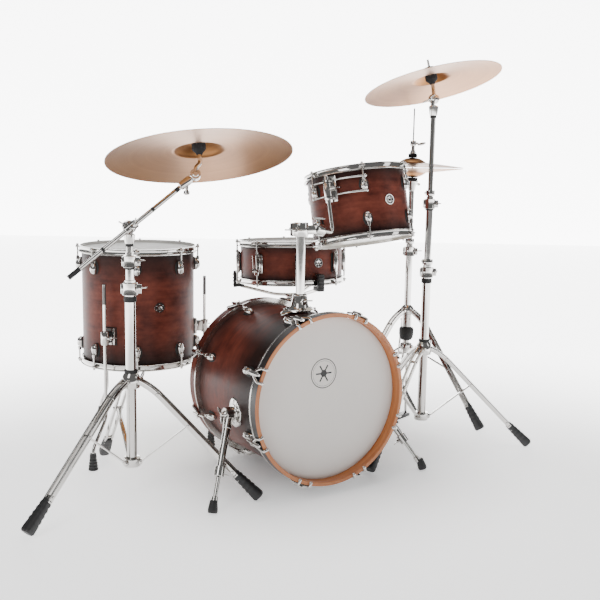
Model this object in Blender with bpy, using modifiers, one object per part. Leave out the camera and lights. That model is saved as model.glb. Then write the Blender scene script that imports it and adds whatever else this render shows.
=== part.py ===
"""Acoustic drum kit: bass drum, rack tom, floor tom, snare, hi-hats and two cymbal stands.

Units are metres and +Z is up. The kit faces -Y and the drummer sits on the +Y side.
Every frame is an empty: a piece sits in its frame's own axes, and a moving frame has its
origin and one axis on its joint.
"""
import math

import bpy
from mathutils import Matrix, Vector

# ---------------------------------------------------------------- driving dimensions
GAP = 0.0003                      # clearance between pieces that touch
SHELL_WALL = 0.006

BASS_RADIUS, BASS_DEPTH = 0.2286, 0.356          # 18 x 14 in
BASS_HOOP_OUTER, BASS_HOOP_INNER = 0.2445, 0.2335
BASS_HOOP_WIDTH = 0.038
BASS_LENGTH = 0.422                               # over both hoops
BASS_FRONT_Z, BASS_REAR_Z = 0.2735, 0.2602        # the front stands a little higher

RACK_RADIUS, RACK_DEPTH = 0.1524, 0.203           # 12 x 8 in
FLOOR_RADIUS, FLOOR_DEPTH = 0.1778, 0.356         # 14 x 14 in
SNARE_RADIUS, SNARE_DEPTH = 0.1778, 0.128         # 14 x 5 in
HOOP_RISE = 0.0105                                # a metal hoop above the shell's edge
HOOP_SKIRT = 0.0095                               # and below it
HOOP_FLANGE = 0.0111                              # its lower flange beyond the shell

RIDE_RADIUS, RIDE_HEIGHT = 0.254, 0.050
CRASH_RADIUS, CRASH_HEIGHT = 0.2195, 0.042
HAT_RADIUS, HAT_HEIGHT = 0.178, 0.032
CYMBAL_THICKNESS = 0.0012
CYMBAL_HOLE = 0.0065
CYMBAL_SEAT = 0.0042                              # the cup below the top of the bell
HAT_OPENING = 0.0045                              # between the hats' edges

# ---------------------------------------------------------------- plan of the kit
# Positions from the middle of the bass drum's front face, before KIT_CENTRE moves the
# origin to the middle of the whole kit's footprint.
KIT_CENTRE = (-0.003, 0.4975)
FLOOR_TOM_AT = (-0.299, 0.702, 0.2915)
SNARE_AT = (0.257, 0.664)
SNARE_BOTTOM = 0.5120
HIHAT_AT = (0.644, 0.494)
CRASH_STAND_AT = (0.515, 0.2365)
BOOM_STAND_AT = (-0.490, 0.2625)
TOM_MAST_Y = 0.186
RACK_TOM_AT = (0.280, 0.268, 0.683)               # middle of its bottom rim
RACK_TOM_LEAN = (math.radians(-12.1), math.radians(-2.1))
RACK_ARM_SIDE = math.radians(207.0)               # where the arm stands beside the shell
RACK_ARM_REACH = 0.1835                           # and how far from the tom's axis
RACK_ELBOW_Z = 0.030

TRIPOD_RADIUS = 0.362
HIHAT_TRIPOD_RADIUS = 0.300
SNARE_TRIPOD_RADIUS = 0.205
BOOM_LEGS = math.radians(203.8)
CRASH_LEGS = math.radians(205.7)
HIHAT_LEGS = math.radians(-62.0)
SNARE_LEGS = math.radians(270.0)

ROUND = 32                                        # sides of drums and cymbals
TUBE_SIDES = 12


# ---------------------------------------------------------------- scene and materials
def clear_scene():
    for obj in list(bpy.data.objects):
        bpy.data.objects.remove(obj, do_unlink=True)


def new_collection(name):
    made = bpy.data.collections.new(name)
    bpy.context.scene.collection.children.link(made)
    return made


clear_scene()
KIT = new_collection("acoustic_drum_kit")
SHAPES = new_collection("joined_and_cut_shapes")

FINISHES = {
    "walnut": ((0.115, 0.026, 0.016), 0.42, 0.0),
    "maple": ((0.52, 0.21, 0.07), 0.40, 0.0),
    "chrome": ((0.80, 0.79, 0.77), 0.12, 1.0),
    "coated_skin": ((0.82, 0.81, 0.79), 0.60, 0.0),
    "clear_skin": ((0.74, 0.70, 0.62), 0.35, 0.0),
    "bronze": ((0.72, 0.42, 0.20), 0.32, 1.0),
    "black": ((0.02, 0.02, 0.02), 0.55, 0.0),
}


def material(node, finish):
    """One Principled material for one node."""
    colour, roughness, metallic = FINISHES[finish]
    made = bpy.data.materials.new(node)
    made.use_nodes = True
    shader = made.node_tree.nodes["Principled BSDF"]
    shader.inputs["Base Color"].default_value = (*colour, 1.0)
    shader.inputs["Roughness"].default_value = roughness
    shader.inputs["Metallic"].default_value = metallic
    made.diffuse_color = (*colour, 1.0)
    return made


# ---------------------------------------------------------------- placing
def frame(name, at=(0, 0, 0), turn=(0, 0, 0), parent=None):
    """An empty that carries pieces; its axes are turned by XYZ Euler angles."""
    made = bpy.data.objects.new(name, None)
    made.empty_display_size = 0.03
    made.location = at
    made.rotation_euler = turn
    made.parent = parent
    KIT.objects.link(made)
    return made


def settle(obj, name, parent, finish):
    """Name a piece, put it in the kit and give it its material."""
    for home in list(obj.users_collection):
        home.objects.unlink(obj)
    KIT.objects.link(obj)
    obj.name = name
    obj.data.name = name
    obj.parent = parent
    obj.data.materials.clear()
    obj.data.materials.append(material(name, finish))
    if obj.type == "MESH":
        obj.data.shade_smooth()
        obj.data.set_sharp_from_angle(angle=math.radians(35))
    return obj


def as_helper(obj, home=None):
    """Hide a shape that is only joined to a piece or cut from one."""
    for old in list(obj.users_collection):
        old.objects.unlink(obj)
    (home or SHAPES).objects.link(obj)
    obj.hide_render = True
    obj.display_type = "WIRE"


# ---------------------------------------------------------------- shapes
def cylinder(start, end, radius, sides=TUBE_SIDES, end_radius=None):
    """A round bar between two points; it tapers if end_radius is given."""
    start, end = Vector(start), Vector(end)
    along = end - start
    bpy.ops.mesh.primitive_cone_add(
        vertices=sides, radius1=radius,
        radius2=radius if end_radius is None else end_radius,
        depth=along.length, location=(start + end) / 2)
    made = bpy.context.object
    made.rotation_euler = along.to_track_quat("Z", "Y").to_euler()
    return made


def ring_bar(angle, radius, z):
    return (radius * math.cos(angle), radius * math.sin(angle), z)


def bar(start, end, width, thickness):
    """A flat bar between two points, its width level."""
    start, end = Vector(start), Vector(end)
    along = end - start
    bpy.ops.mesh.primitive_cube_add(size=1.0, location=(start + end) / 2)
    made = bpy.context.object
    made.scale = (width, thickness, along.length)
    made.rotation_euler = along.to_track_quat("Z", "Y").to_euler()
    return made


def block(centre, size, turn=0.0):
    """A box, turned about Z."""
    bpy.ops.mesh.primitive_cube_add(size=1.0, location=centre, rotation=(0, 0, turn))
    made = bpy.context.object
    made.scale = size
    return made


def hinge_half(pivot, turn, side, radius, drop):
    """Half of a toothed hinge about the turned X axis: a disc and the neck below it."""
    across = turn @ Vector((side, 0, 0))
    neck = pivot + across * 0.0056
    return [cylinder(pivot + across * GAP, pivot + across * 0.011, radius, 16),
            cylinder(neck - Vector((0, 0, drop)), neck, 0.0050, 10)]


def piece(name, parent, finish, shape):
    return settle(shape, name, parent, finish)


def cut_from(body, parent, cutter):
    """Cut one shape from a piece."""
    as_helper(cutter)
    cutter.name = body.name + "_cut"
    cutter.parent = parent
    cut = body.modifiers.new("cut", "BOOLEAN")
    cut.operation = "DIFFERENCE"
    cut.object = cutter
    cut.solver = "EXACT"


def joined(name, parent, finish, shapes, cuts=()):
    """One solid from shapes that overlap, with others cut from it."""
    body = settle(shapes[0], name, parent, finish)
    if len(shapes) > 1:
        home = bpy.data.collections.new(name + "_shapes")
        SHAPES.children.link(home)
        for shape in shapes[1:]:
            as_helper(shape, home)
            shape.name = name + "_shape"
            shape.parent = parent
        union = body.modifiers.new("join", "BOOLEAN")
        union.operation = "UNION"
        union.operand_type = "COLLECTION"
        union.collection = home
        union.solver = "EXACT"
    for cutter in cuts:
        cut_from(body, parent, cutter)
    return body


def turned(name, parent, finish, profile, closed=True, sides=ROUND):
    """Turn a profile of (radius, height) points about Z; outer points run downwards."""
    mesh = bpy.data.meshes.new(name)
    count = len(profile)
    edges = [(i, i + 1) for i in range(count - 1)]
    if closed:
        edges.append((count - 1, 0))
    mesh.from_pydata([(r, 0.0, z) for r, z in profile], edges, [])
    made = bpy.data.objects.new(name, mesh)
    SHAPES.objects.link(made)
    settle(made, name, parent, finish)
    screw = made.modifiers.new("turn", "SCREW")
    screw.steps = sides
    screw.render_steps = sides
    screw.use_merge_vertices = True
    screw.merge_threshold = 0.00001
    screw.use_smooth_shade = True
    return made


def rounded(corners, reach):
    """Swap each inner corner of a route for three points of a short curve."""
    route = [Vector(corners[0])]
    for before, corner, after in zip(corners, corners[1:], corners[2:]):
        before, corner, after = Vector(before), Vector(corner), Vector(after)
        start = corner + (before - corner).normalized() * reach
        end = corner + (after - corner).normalized() * reach
        route += [start, (start + 2 * corner + end) / 4, end]
    route.append(Vector(corners[-1]))
    return route


# ---------------------------------------------------------------- drums
def skin(name, parent, finish, edge_z, up, radius, collar):
    """A drum head: a thin disc whose collar goes down over the shell's edge."""
    rim, inner = radius + collar, radius + GAP
    points = [(0.0, 0.0013), (rim, 0.0013), (rim, -0.007),
              (inner, -0.007), (inner, GAP), (0.0, GAP)]
    profile = [(r, edge_z + up * z) for r, z in points]
    if up < 0:
        profile.reverse()
    return turned(name, parent, finish, profile, closed=False)


def metal_hoop(name, parent, edge_z, up, radius):
    """A flanged steel hoop around the collar of a head."""
    inner, outer = radius + 0.0045, radius + HOOP_FLANGE
    points = [(inner, HOOP_RISE), (inner + 0.0033, HOOP_RISE), (outer, -0.0072),
              (outer, -HOOP_SKIRT), (inner, -HOOP_SKIRT)]
    profile = [(r, edge_z + up * z) for r, z in points]
    if up < 0:
        profile.reverse()
    return turned(name, parent, "chrome", profile)


def shell(name, parent, radius, depth, finish="walnut"):
    """A plywood shell, from z = 0 to its depth."""
    inner = radius - SHELL_WALL
    return turned(name, parent, finish,
                  [(inner, depth), (radius, depth), (radius, 0.0), (inner, 0.0)])


def metal_hooped_drum(prefix, parent, radius, depth):
    """Shell, two heads and two hoops; the shell's lower edge is at the frame's origin."""
    shell(prefix + "_shell", parent, radius, depth)
    skin(prefix + "_top_head", parent, "coated_skin", depth, 1, radius, 0.0042)
    skin(prefix + "_bottom_head", parent, "clear_skin", 0.0, -1, radius, 0.0042)
    metal_hoop(prefix + "_top_hoop", parent, depth, 1, radius)
    metal_hoop(prefix + "_bottom_hoop", parent, 0.0, -1, radius)


# ---------------------------------------------------------------- bass drum
def bass_drum(kit):
    """The drum lies along Y; its frame's +Z points out of the front head."""
    lean = math.atan2(BASS_FRONT_Z - BASS_REAR_Z, BASS_LENGTH)
    middle = (0.0, BASS_LENGTH / 2, (BASS_FRONT_Z + BASS_REAR_Z) / 2)
    drum = frame("bass_drum", middle, (math.pi / 2 - lean, 0.0, 0.0), kit)
    body = frame("bass_body", (0.0, 0.0, -BASS_DEPTH / 2), parent=drum)
    wood = shell("bass_shell", body, BASS_RADIUS, BASS_DEPTH)
    upright = Matrix.Rotation(lean - math.pi / 2, 3, "X")
    low, high = (upright @ (Vector((0.0, TOM_MAST_Y, z)) - Vector(middle))
                 + Vector((0.0, 0.0, BASS_DEPTH / 2)) for z in (0.44, 0.52))
    cut_from(wood, body, cylinder(low, high, MAST_HOLE, 16))
    skin("bass_front_head", body, "coated_skin", BASS_DEPTH, 1, BASS_RADIUS, 0.0046)
    skin("bass_rear_head", body, "coated_skin", 0.0, -1, BASS_RADIUS, 0.0046)
    half = BASS_LENGTH / 2
    for name, top in (("bass_front_hoop", half), ("bass_rear_hoop", BASS_HOOP_WIDTH - half)):
        low = top - BASS_HOOP_WIDTH
        turned(name, drum, "maple" if "front" in name else "walnut",
               [(BASS_HOOP_INNER, top), (BASS_HOOP_OUTER, top),
                (BASS_HOOP_OUTER, low), (BASS_HOOP_INNER, low)])


# Tom mount: plate and collar on the bass shell, mast, clamp, arm.
MOUNT_FOOT_Z = 0.4985
MAST_RADIUS = 0.0125
MAST_HOLE = 0.0145                                # in the bass shell
MAST_INSIDE = 0.095                               # of the mast below its collar's top
MAST_TOP_Z = 0.757
CLAMP_Z = (0.7155, 0.757)
BALL_AT = (0.063, 0.187, 0.7335)
BALL_RADIUS = 0.0100
ARM_OUT = Vector((1.0, 0.10, -0.18)).normalized()  # the way the arm leaves its socket
ARM_RADIUS = 0.0055


def tom_mount(kit):
    plate_top = MOUNT_FOOT_Z + 0.010
    collar_top = 0.548
    joined("tom_mount_plate", kit, "chrome",
           [cylinder((0, TOM_MAST_Y, MOUNT_FOOT_Z), (0, TOM_MAST_Y, plate_top), 0.042, 20),
            cylinder((0, TOM_MAST_Y, plate_top - 0.001), (0, TOM_MAST_Y, collar_top), 0.024, 16,
                     0.019)],
           [cylinder((0, TOM_MAST_Y, MOUNT_FOOT_Z - 0.01), (0, TOM_MAST_Y, collar_top + 0.01),
                     MAST_RADIUS + GAP)])
    slide = frame("tom_mast_slide", (0, TOM_MAST_Y, collar_top), parent=kit)
    piece("tom_mast", slide, "chrome",
          cylinder((0, 0, -MAST_INSIDE), (0, 0, MAST_TOP_Z - collar_top), MAST_RADIUS))
    return slide, collar_top


def local(parent_at, at):
    return Vector(at) - Vector(parent_at)


def tom_clamp(slide, collar_top):
    """The clamp turns about the mast; its socket holds the arm's ball."""
    base = (0, TOM_MAST_Y, collar_top)
    swivel = frame("tom_swivel", parent=slide)
    low, high = (z - collar_top for z in CLAMP_Z)
    ball = local(base, BALL_AT)
    out = ARM_OUT
    joined("tom_clamp", swivel, "chrome",
           [cylinder((0, 0, low), (0, 0, high), 0.0205, 16),
            bar((0.005, 0.0, (low + high) / 2), ball - out * 0.012, 0.024, 0.022),
            cylinder(ball - out * 0.016, ball + out * 0.012, 0.0175, 16)],
           [cylinder((0, 0, low - 0.01), (0, 0, high + 0.01), MAST_RADIUS + 0.001, 16),
            cylinder(ball - out * 0.012, ball + out * 0.020, BALL_RADIUS + 3 * GAP, 16)])
    return frame("tom_tilt", ball, parent=swivel)


def rack_tom(tilt):
    """The arm's upright stands beside the shell; the tom slides on it by its bracket."""
    lean_x, lean_y = RACK_TOM_LEAN
    drum = frame("rack_tom_slide", local(BALL_AT, RACK_TOM_AT), (lean_x, lean_y, 0.0), tilt)
    body = frame("rack_body", (0.0, 0.0, HOOP_RISE), parent=drum)
    metal_hooped_drum("rack", body, RACK_RADIUS, RACK_DEPTH)
    side = frame("rack_side", (0.0, 0.0, 0.0), (0.0, 0.0, RACK_ARM_SIDE), drum)
    low, high = 0.124, 0.190
    middle = (low + high) / 2
    face = RACK_RADIUS + 0.006
    bore = ARM_RADIUS + GAP
    joined("rack_bracket", side, "chrome",
           [block((face + 0.003, 0.0, middle), (0.006, 0.040, high - low)),
            block((face + 0.013, 0.0, middle), (0.024, 0.016, high - low - 0.016)),
            cylinder((RACK_ARM_REACH, 0, low + 0.006), (RACK_ARM_REACH, 0, high - 0.006),
                     0.0105)],
           [cylinder((RACK_ARM_REACH, 0, low - 0.02), (RACK_ARM_REACH, 0, high + 0.02), bore)])
    arm_route = [(0.0, 0.0, 0.0)] + [
        to_tilt(drum, (RACK_ARM_REACH, 0.0, z)) for z in (RACK_ELBOW_Z, high + 0.008)]
    ball = cylinder(ARM_OUT * -0.007, ARM_OUT * 0.007, BALL_RADIUS, 12)
    route = rounded(arm_route, 0.012)
    bends = [cylinder(a, b, ARM_RADIUS, 10) for a, b in zip(route, route[1:])]
    joined("tom_arm", tilt, "chrome", [ball] + bends)


def to_tilt(drum, place):
    """A point of the tom's side frame, in the axes of the frame that carries the tom."""
    turn = Matrix.Rotation(RACK_ARM_SIDE, 4, "Z")
    return Matrix.LocRotScale(drum.location, drum.rotation_euler, None) @ turn @ Vector(place)


# ---------------------------------------------------------------- spurs
SPUR_TOP = (0.2435, 0.155, 0.228)                 # its pivot beside the shell, right side
SPUR_FOOT = (0.356, 0.027, 0.010)
SPUR_SLEEVE_RADIUS = 0.0105
SPUR_ROD_RADIUS = 0.0060


def spur(kit, name, side):
    """A leg that folds about its pivot; a rod slides in it. side is -1 left, 1 right."""
    top = Vector((side * SPUR_TOP[0], SPUR_TOP[1], SPUR_TOP[2]))
    foot = Vector((side * SPUR_FOOT[0], SPUR_FOOT[1], SPUR_FOOT[2]))
    fold = frame(name + "_fold", top, parent=kit)
    reach = foot - top
    along = reach.normalized()
    length = reach.length
    joined(name + "_leg", fold, "chrome",
           [cylinder((side * -0.013, 0, 0), (side * 0.014, 0, 0), 0.020, 16),
            cylinder((0, 0, 0), along * length * 0.62, SPUR_SLEEVE_RADIUS),
            cylinder(along * length * 0.57, along * length * 0.66, 0.0145)],
           [cylinder(along * 0.030, along * length, SPUR_ROD_RADIUS + GAP)])
    slide = frame(name + "_slide", reach, parent=fold)
    slide.rotation_euler = along.to_track_quat("Z", "Y").to_euler()
    down = slide.rotation_euler.to_matrix().inverted() @ Vector((0, 0, -1))
    joined(name + "_rod", slide, "chrome",
           [cylinder((0, 0, 0.0), (0, 0, -length * 0.60), SPUR_ROD_RADIUS),
            cylinder(down * foot.z, down * -0.012, 0.0125, 12)])


# ---------------------------------------------------------------- bass drum pedal
PEDAL_HEEL = (0.0, 0.715, 0.018)
PEDAL_TOE = (0.0, 0.480, 0.088)
PEDAL_AXLE = (0.0, 0.445, 0.130)
BEATER_LEAN = math.radians(38.0)
BEATER_LENGTH = 0.175


def pedal(kit):
    heel, toe, axle = Vector(PEDAL_HEEL), Vector(PEDAL_TOE), Vector(PEDAL_AXLE)
    posts = [block((side * 0.046, axle.y, 0.070), (0.012, 0.022, 0.136))
             for side in (-1, 1)]
    joined("pedal_frame", kit, "chrome",
           [block((0, 0.575, 0.003), (0.070, 0.340, 0.006)),
            block((0, axle.y, 0.007), (0.104, 0.030, 0.014)),
            block((0, 0.4275, 0.0065), (0.050, 0.047, 0.013)),
            block((0, heel.y + 0.027, 0.011), (0.066, 0.040, 0.022))] + posts,
           [cylinder((-0.08, axle.y, axle.z), (0.08, axle.y, axle.z), 0.0055 + GAP)])
    press = frame("pedal_press", heel, parent=kit)
    along = toe - heel
    joined("pedal_footboard", press, "chrome",
           [bar((0, 0, 0), along, 0.076, 0.006),
            cylinder((-0.030, 0, 0), (0.030, 0, 0), 0.0050)])
    strike = frame("beater_strike", axle, parent=kit)
    out = Vector((0.0, math.sin(BEATER_LEAN), math.cos(BEATER_LEAN)))
    head = out * BEATER_LENGTH
    joined("pedal_beater", strike, "black",
           [cylinder((-0.058, 0, 0), (0.058, 0, 0), 0.0055),
            cylinder((0, 0, 0), head, 0.0040, 10),
            cylinder(head - Vector((0, out.z, -out.y)) * 0.026,
                     head + Vector((0, out.z, -out.y)) * 0.022, 0.024, 20)])


# ---------------------------------------------------------------- floor tom
LEG_RADIUS = 0.0050
LEG_STAND_OFF = 0.2135                            # of a leg from the tom's axis
LEG_TOP, LEG_BEND, LEG_FOOT_TOP = 0.553, 0.140, 0.052
LEG_SIDES = (220.6, 100.6, -19.4)                 # degrees about the tom
LEG_KICKS = (222.0, 88.0, -100.0)                 # where each foot points
LEG_KICK_OUT = 0.082


def floor_tom(kit):
    drum = frame("floor_tom", FLOOR_TOM_AT, parent=kit)
    metal_hooped_drum("floor", drum, FLOOR_RADIUS, FLOOR_DEPTH)
    x, y, z = FLOOR_TOM_AT
    for number, (side, kick) in enumerate(zip(LEG_SIDES, LEG_KICKS), 1):
        side, kick = math.radians(side), math.radians(kick)
        top = (x + LEG_STAND_OFF * math.cos(side), y + LEG_STAND_OFF * math.sin(side), 0.0)
        out = Vector((math.cos(kick), math.sin(kick), 0.0)) * LEG_KICK_OUT
        leg = frame("floor_leg_%d_slide" % number, top, parent=kit)
        straight, bend = Vector((0, 0, LEG_TOP)), Vector((0, 0, LEG_BEND))
        low = out + Vector((0, 0, LEG_FOOT_TOP + 0.012))
        route = rounded([straight, bend, low, out + Vector((0, 0, 0.030))], 0.018)
        parts = [cylinder(a, b, LEG_RADIUS, 10) for a, b in zip(route, route[1:])]
        joined("floor_leg_%d" % number, leg, "chrome", parts +
               [cylinder(out, out + Vector((0, 0, LEG_FOOT_TOP)), 0.0150, 14, 0.0095)])


# ---------------------------------------------------------------- tripods
def tripod(radius, first, hub_z, knee, joint, bracket_z, tube_radius):
    """Three legs with flat braces: the shapes of one tripod around its frame's origin."""
    shapes = []
    for number in range(3):
        angle = first + number * math.tau / 3
        hub = Vector(ring_bar(angle, tube_radius, hub_z))
        knee_at = Vector(ring_bar(angle, *knee))
        foot = Vector(ring_bar(angle, radius, 0.0))
        heel = knee_at.lerp(foot, 0.80)
        boot = knee_at.lerp(foot, 0.76)
        toe = knee_at.lerp(foot, 0.93)
        middle = knee_at.lerp(foot, joint)
        low = Vector(ring_bar(angle, tube_radius + 0.004, bracket_z))
        shapes += [bar(hub - (knee_at - hub) * 0.1, knee_at + (foot - knee_at) * 0.01,
                       0.024, 0.012),
                   bar(knee_at, heel, 0.024, 0.007),
                   cylinder(boot, toe, 0.0125, 10, 0.0165),
                   cylinder(ring_bar(angle, radius - 0.010, 0.0),
                            ring_bar(angle, radius - 0.010, 0.026), 0.0170, 12, 0.0150),
                   bar(low, middle, 0.016, 0.004)]
    return shapes


def stand_base(name, at, legs, parent, top, tube, bore, bore_to, radius=TRIPOD_RADIUS,
               hub_z=0.329, bracket_z=0.098, knee=(0.060, 0.310), joint=0.33):
    """The lowest section of a stand: tripod, hub, lower bracket, tube and clamp."""
    stand = frame(name, (*at, 0.0), parent=parent)
    joined(name + "_base", stand, "chrome",
           [cylinder((0, 0, bracket_z - 0.008), (0, 0, top), tube, 16),
            cylinder((0, 0, hub_z - 0.016), (0, 0, hub_z + 0.010), 0.024, 16),
            cylinder((0, 0, bracket_z - 0.010), (0, 0, bracket_z + 0.010), 0.024, 16),
            cylinder((0, 0, top - 0.045), (0, 0, top), tube + 0.0035, 16)]
           + tripod(radius, legs, hub_z, knee, joint, bracket_z, tube),
           [cylinder((0, 0, bore_to), (0, 0, top + 0.01), bore + GAP, 12)])
    return stand


def tube_section(name, frame_name, parent, at_z, below, above, tube, bore=None, bore_to=0.0):
    """A tube that slides in the section below it, with a clamp collar if it is bored."""
    slide = frame(frame_name, (0, 0, at_z), parent=parent)
    shapes = [cylinder((0, 0, -below), (0, 0, above), tube)]
    cuts = []
    if bore:
        shapes.append(cylinder((0, 0, above - 0.045), (0, 0, above), tube + 0.0045, 14))
        cuts.append(cylinder((0, 0, bore_to), (0, 0, above + 0.01), bore + GAP))
    return slide, shapes, cuts


# ---------------------------------------------------------------- cymbals
def cymbal(name, parent, radius, height, up=1):
    """A thin domed plate with a bell; the frame's origin is in the plane of its edge."""
    bell = radius * 0.27
    shape = [(CYMBAL_HOLE, height), (bell * 0.60, height * 0.88), (bell, height * 0.47),
             (radius, 0.0)]
    under = [(r, z - CYMBAL_THICKNESS) for r, z in reversed(shape)]
    profile = [(r, up * z) for r, z in shape + under]
    if up < 0:
        profile.reverse()
    return turned(name, parent, "bronze", profile)


def tilter(name, parent, x, y, seat_z, rod_top):
    """Half a toothed hinge about X, with a neck to the rod at x, y that the cymbal sits on."""
    return joined(name, parent, "chrome",
                  [cylinder((GAP, 0, 0), (0.011, 0, 0), 0.0145, 16),
                   cylinder((0.0055, 0, 0.004), (0.0055, y, 0.030), 0.0052, 12),
                   cylinder((x, y, 0.024), (x, y, seat_z), 0.0085, 12, 0.0060),
                   cylinder((x, y, seat_z - 0.024), (x, y, seat_z), 0.0190, 16),
                   cylinder((x, y, seat_z - 0.01), (x, y, rod_top), 0.0042, 10)])


# ---------------------------------------------------------------- crash stand
CRASH_PIVOT_Z = 1.134
CRASH_LEAN = math.radians(-16.0)
CRASH_HINGE = math.radians(17.6)
CRASH_NECK, CRASH_RISE = 0.0095, 0.047            # of the cymbal's edge plane from the hinge


def crash_stand(kit):
    stand = stand_base("crash_stand", CRASH_STAND_AT, CRASH_LEGS, kit, 0.606,
                       0.0140, 0.0110, 0.330)
    slide, shapes, cuts = tube_section("crash_middle", "crash_middle_slide", stand, 0.606,
                                       0.160, 0.222, 0.0110, 0.0080, -0.150)
    joined("crash_middle_tube", slide, "chrome", shapes, cuts)
    slide, shapes, _ = tube_section("crash_top", "crash_top_slide", slide, 0.222,
                                    0.120, 1.100 - 0.828, 0.0080)
    pivot = Vector((0, 0, CRASH_PIVOT_Z - 0.828))
    turn = Matrix.Rotation(CRASH_HINGE, 3, "Z")
    shapes += hinge_half(pivot, turn, -1, 0.0145, 0.024)
    shapes.append(cylinder((0, 0, 0.250), (0, 0, pivot.z - 0.0165), 0.0115))
    joined("crash_top_tube", slide, "chrome", shapes)
    tilt = frame("crash_tilt", pivot, (CRASH_LEAN, 0.0, CRASH_HINGE), slide)
    tilter("crash_tilter", tilt, CRASH_NECK, 0.0, CRASH_RISE + CRASH_HEIGHT - CYMBAL_SEAT,
           0.129)
    spin = frame("crash_spin", (CRASH_NECK, 0, CRASH_RISE), parent=tilt)
    cymbal("crash_cymbal", spin, CRASH_RADIUS, CRASH_HEIGHT)


# ---------------------------------------------------------------- boom stand
BOOM_TURN = math.radians(-7.0)
BOOM_PIVOT_Z = 0.749
BOOM_RISE = math.radians(38.1)
BOOM_BELOW, BOOM_ABOVE = 0.210, 0.211             # of the arm's ends from its pivot
BOOM_OFFSET = -0.019                              # the arm passes beside the stand's axis
RIDE_NORMAL = Vector((0.038, 0.283, 0.958)).normalized()
RIDE_NECK, RIDE_RISE = 0.016, 0.046               # of the cymbal's edge plane from the hinge


def boom_stand(kit):
    stand = stand_base("boom_stand", BOOM_STAND_AT, BOOM_LEGS, kit, 0.606,
                       0.0140, 0.0110, 0.330)
    slide, shapes, cuts = tube_section("boom_middle", "boom_middle_slide", stand, 0.606,
                                       0.160, 0.074, 0.0110, 0.0080, -0.150)
    joined("boom_middle_tube", slide, "chrome", shapes, cuts)
    slide, shapes, _ = tube_section("boom_top", "boom_top_slide", slide, 0.074,
                                    0.120, 0.042, 0.0080)
    pivot = Vector((0, 0, BOOM_PIVOT_Z - 0.680))
    turn = Matrix.Rotation(BOOM_TURN + math.pi / 2, 3, "Z")
    shapes += hinge_half(pivot, turn, 1, 0.0175, 0.030)
    shapes.append(cylinder((0, 0, 0.010), (0, 0, pivot.z - 0.0195), 0.0115))
    joined("boom_top_tube", slide, "chrome", shapes)
    tilt = frame("boom_tilt", pivot, (0.0, math.pi / 2 - BOOM_RISE, BOOM_TURN), slide)
    joined("boom_tilter", tilt, "chrome",
           [cylinder((0, -0.010, 0), (0, -GAP, 0), 0.0175, 16),
            cylinder((0, BOOM_OFFSET - 0.012, 0), (0, -0.006, 0), 0.0130, 14),
            cylinder((0, BOOM_OFFSET, -0.016), (0, BOOM_OFFSET, 0.016), 0.0110, 14)],
           [cylinder((0, BOOM_OFFSET, -0.05), (0, BOOM_OFFSET, 0.05), 0.0065 + GAP)])
    boom_arm(tilt)


def boom_arm(tilt):
    """The arm slides through the tilter along its +Z; at its end the ride tips about Y."""
    turn = Matrix.Rotation(BOOM_TURN, 3, "Z") @ Matrix.Rotation(math.pi / 2 - BOOM_RISE, 3, "Y")
    wanted = turn.inverted() @ RIDE_NORMAL
    roll = math.atan2(-wanted.y, -wanted.x)
    tip = -math.acos(wanted.z)
    end = BOOM_ABOVE
    knuckle = end + 0.014
    arm = frame("boom_arm_slide", (0, BOOM_OFFSET, 0), (0.0, 0.0, roll), tilt)
    joined("boom_arm", arm, "chrome",
           [cylinder((0, 0, -BOOM_BELOW), (0, 0, end - 0.006), 0.0065),
            cylinder((0, 0, end - 0.030), (0, 0, end - 0.004), 0.0110),
            cylinder((0, GAP, knuckle), (0, 0.011, knuckle), 0.0145, 16),
            cylinder((0, 0.0058, end - 0.010), (0, 0.0058, knuckle - 0.004), 0.0048)])
    tip_frame = frame("ride_tilt", (0, 0, knuckle), (0.0, tip, 0.0), arm)
    seat = frame("ride_seat", (0, 0, 0), (0.0, 0.0, -math.pi / 2), tip_frame)
    tilter("ride_tilter", seat, 0.0, RIDE_NECK, RIDE_RISE + RIDE_HEIGHT - CYMBAL_SEAT, 0.118)
    spin = frame("ride_spin", (0, RIDE_NECK, RIDE_RISE), parent=seat)
    cymbal("ride_cymbal", spin, RIDE_RADIUS, RIDE_HEIGHT)


# ---------------------------------------------------------------- hi-hat stand
HAT_EDGE_Z = 0.916                                # the lower hat's edge
HIHAT_PEDAL_TURN = math.radians(108.0)
HIHAT_HEEL, HIHAT_TOE = (0.275, 0.0, 0.020), (0.030, 0.0, 0.165)
HAT_SEAT_Z = HAT_EDGE_Z - HAT_HEIGHT


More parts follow.
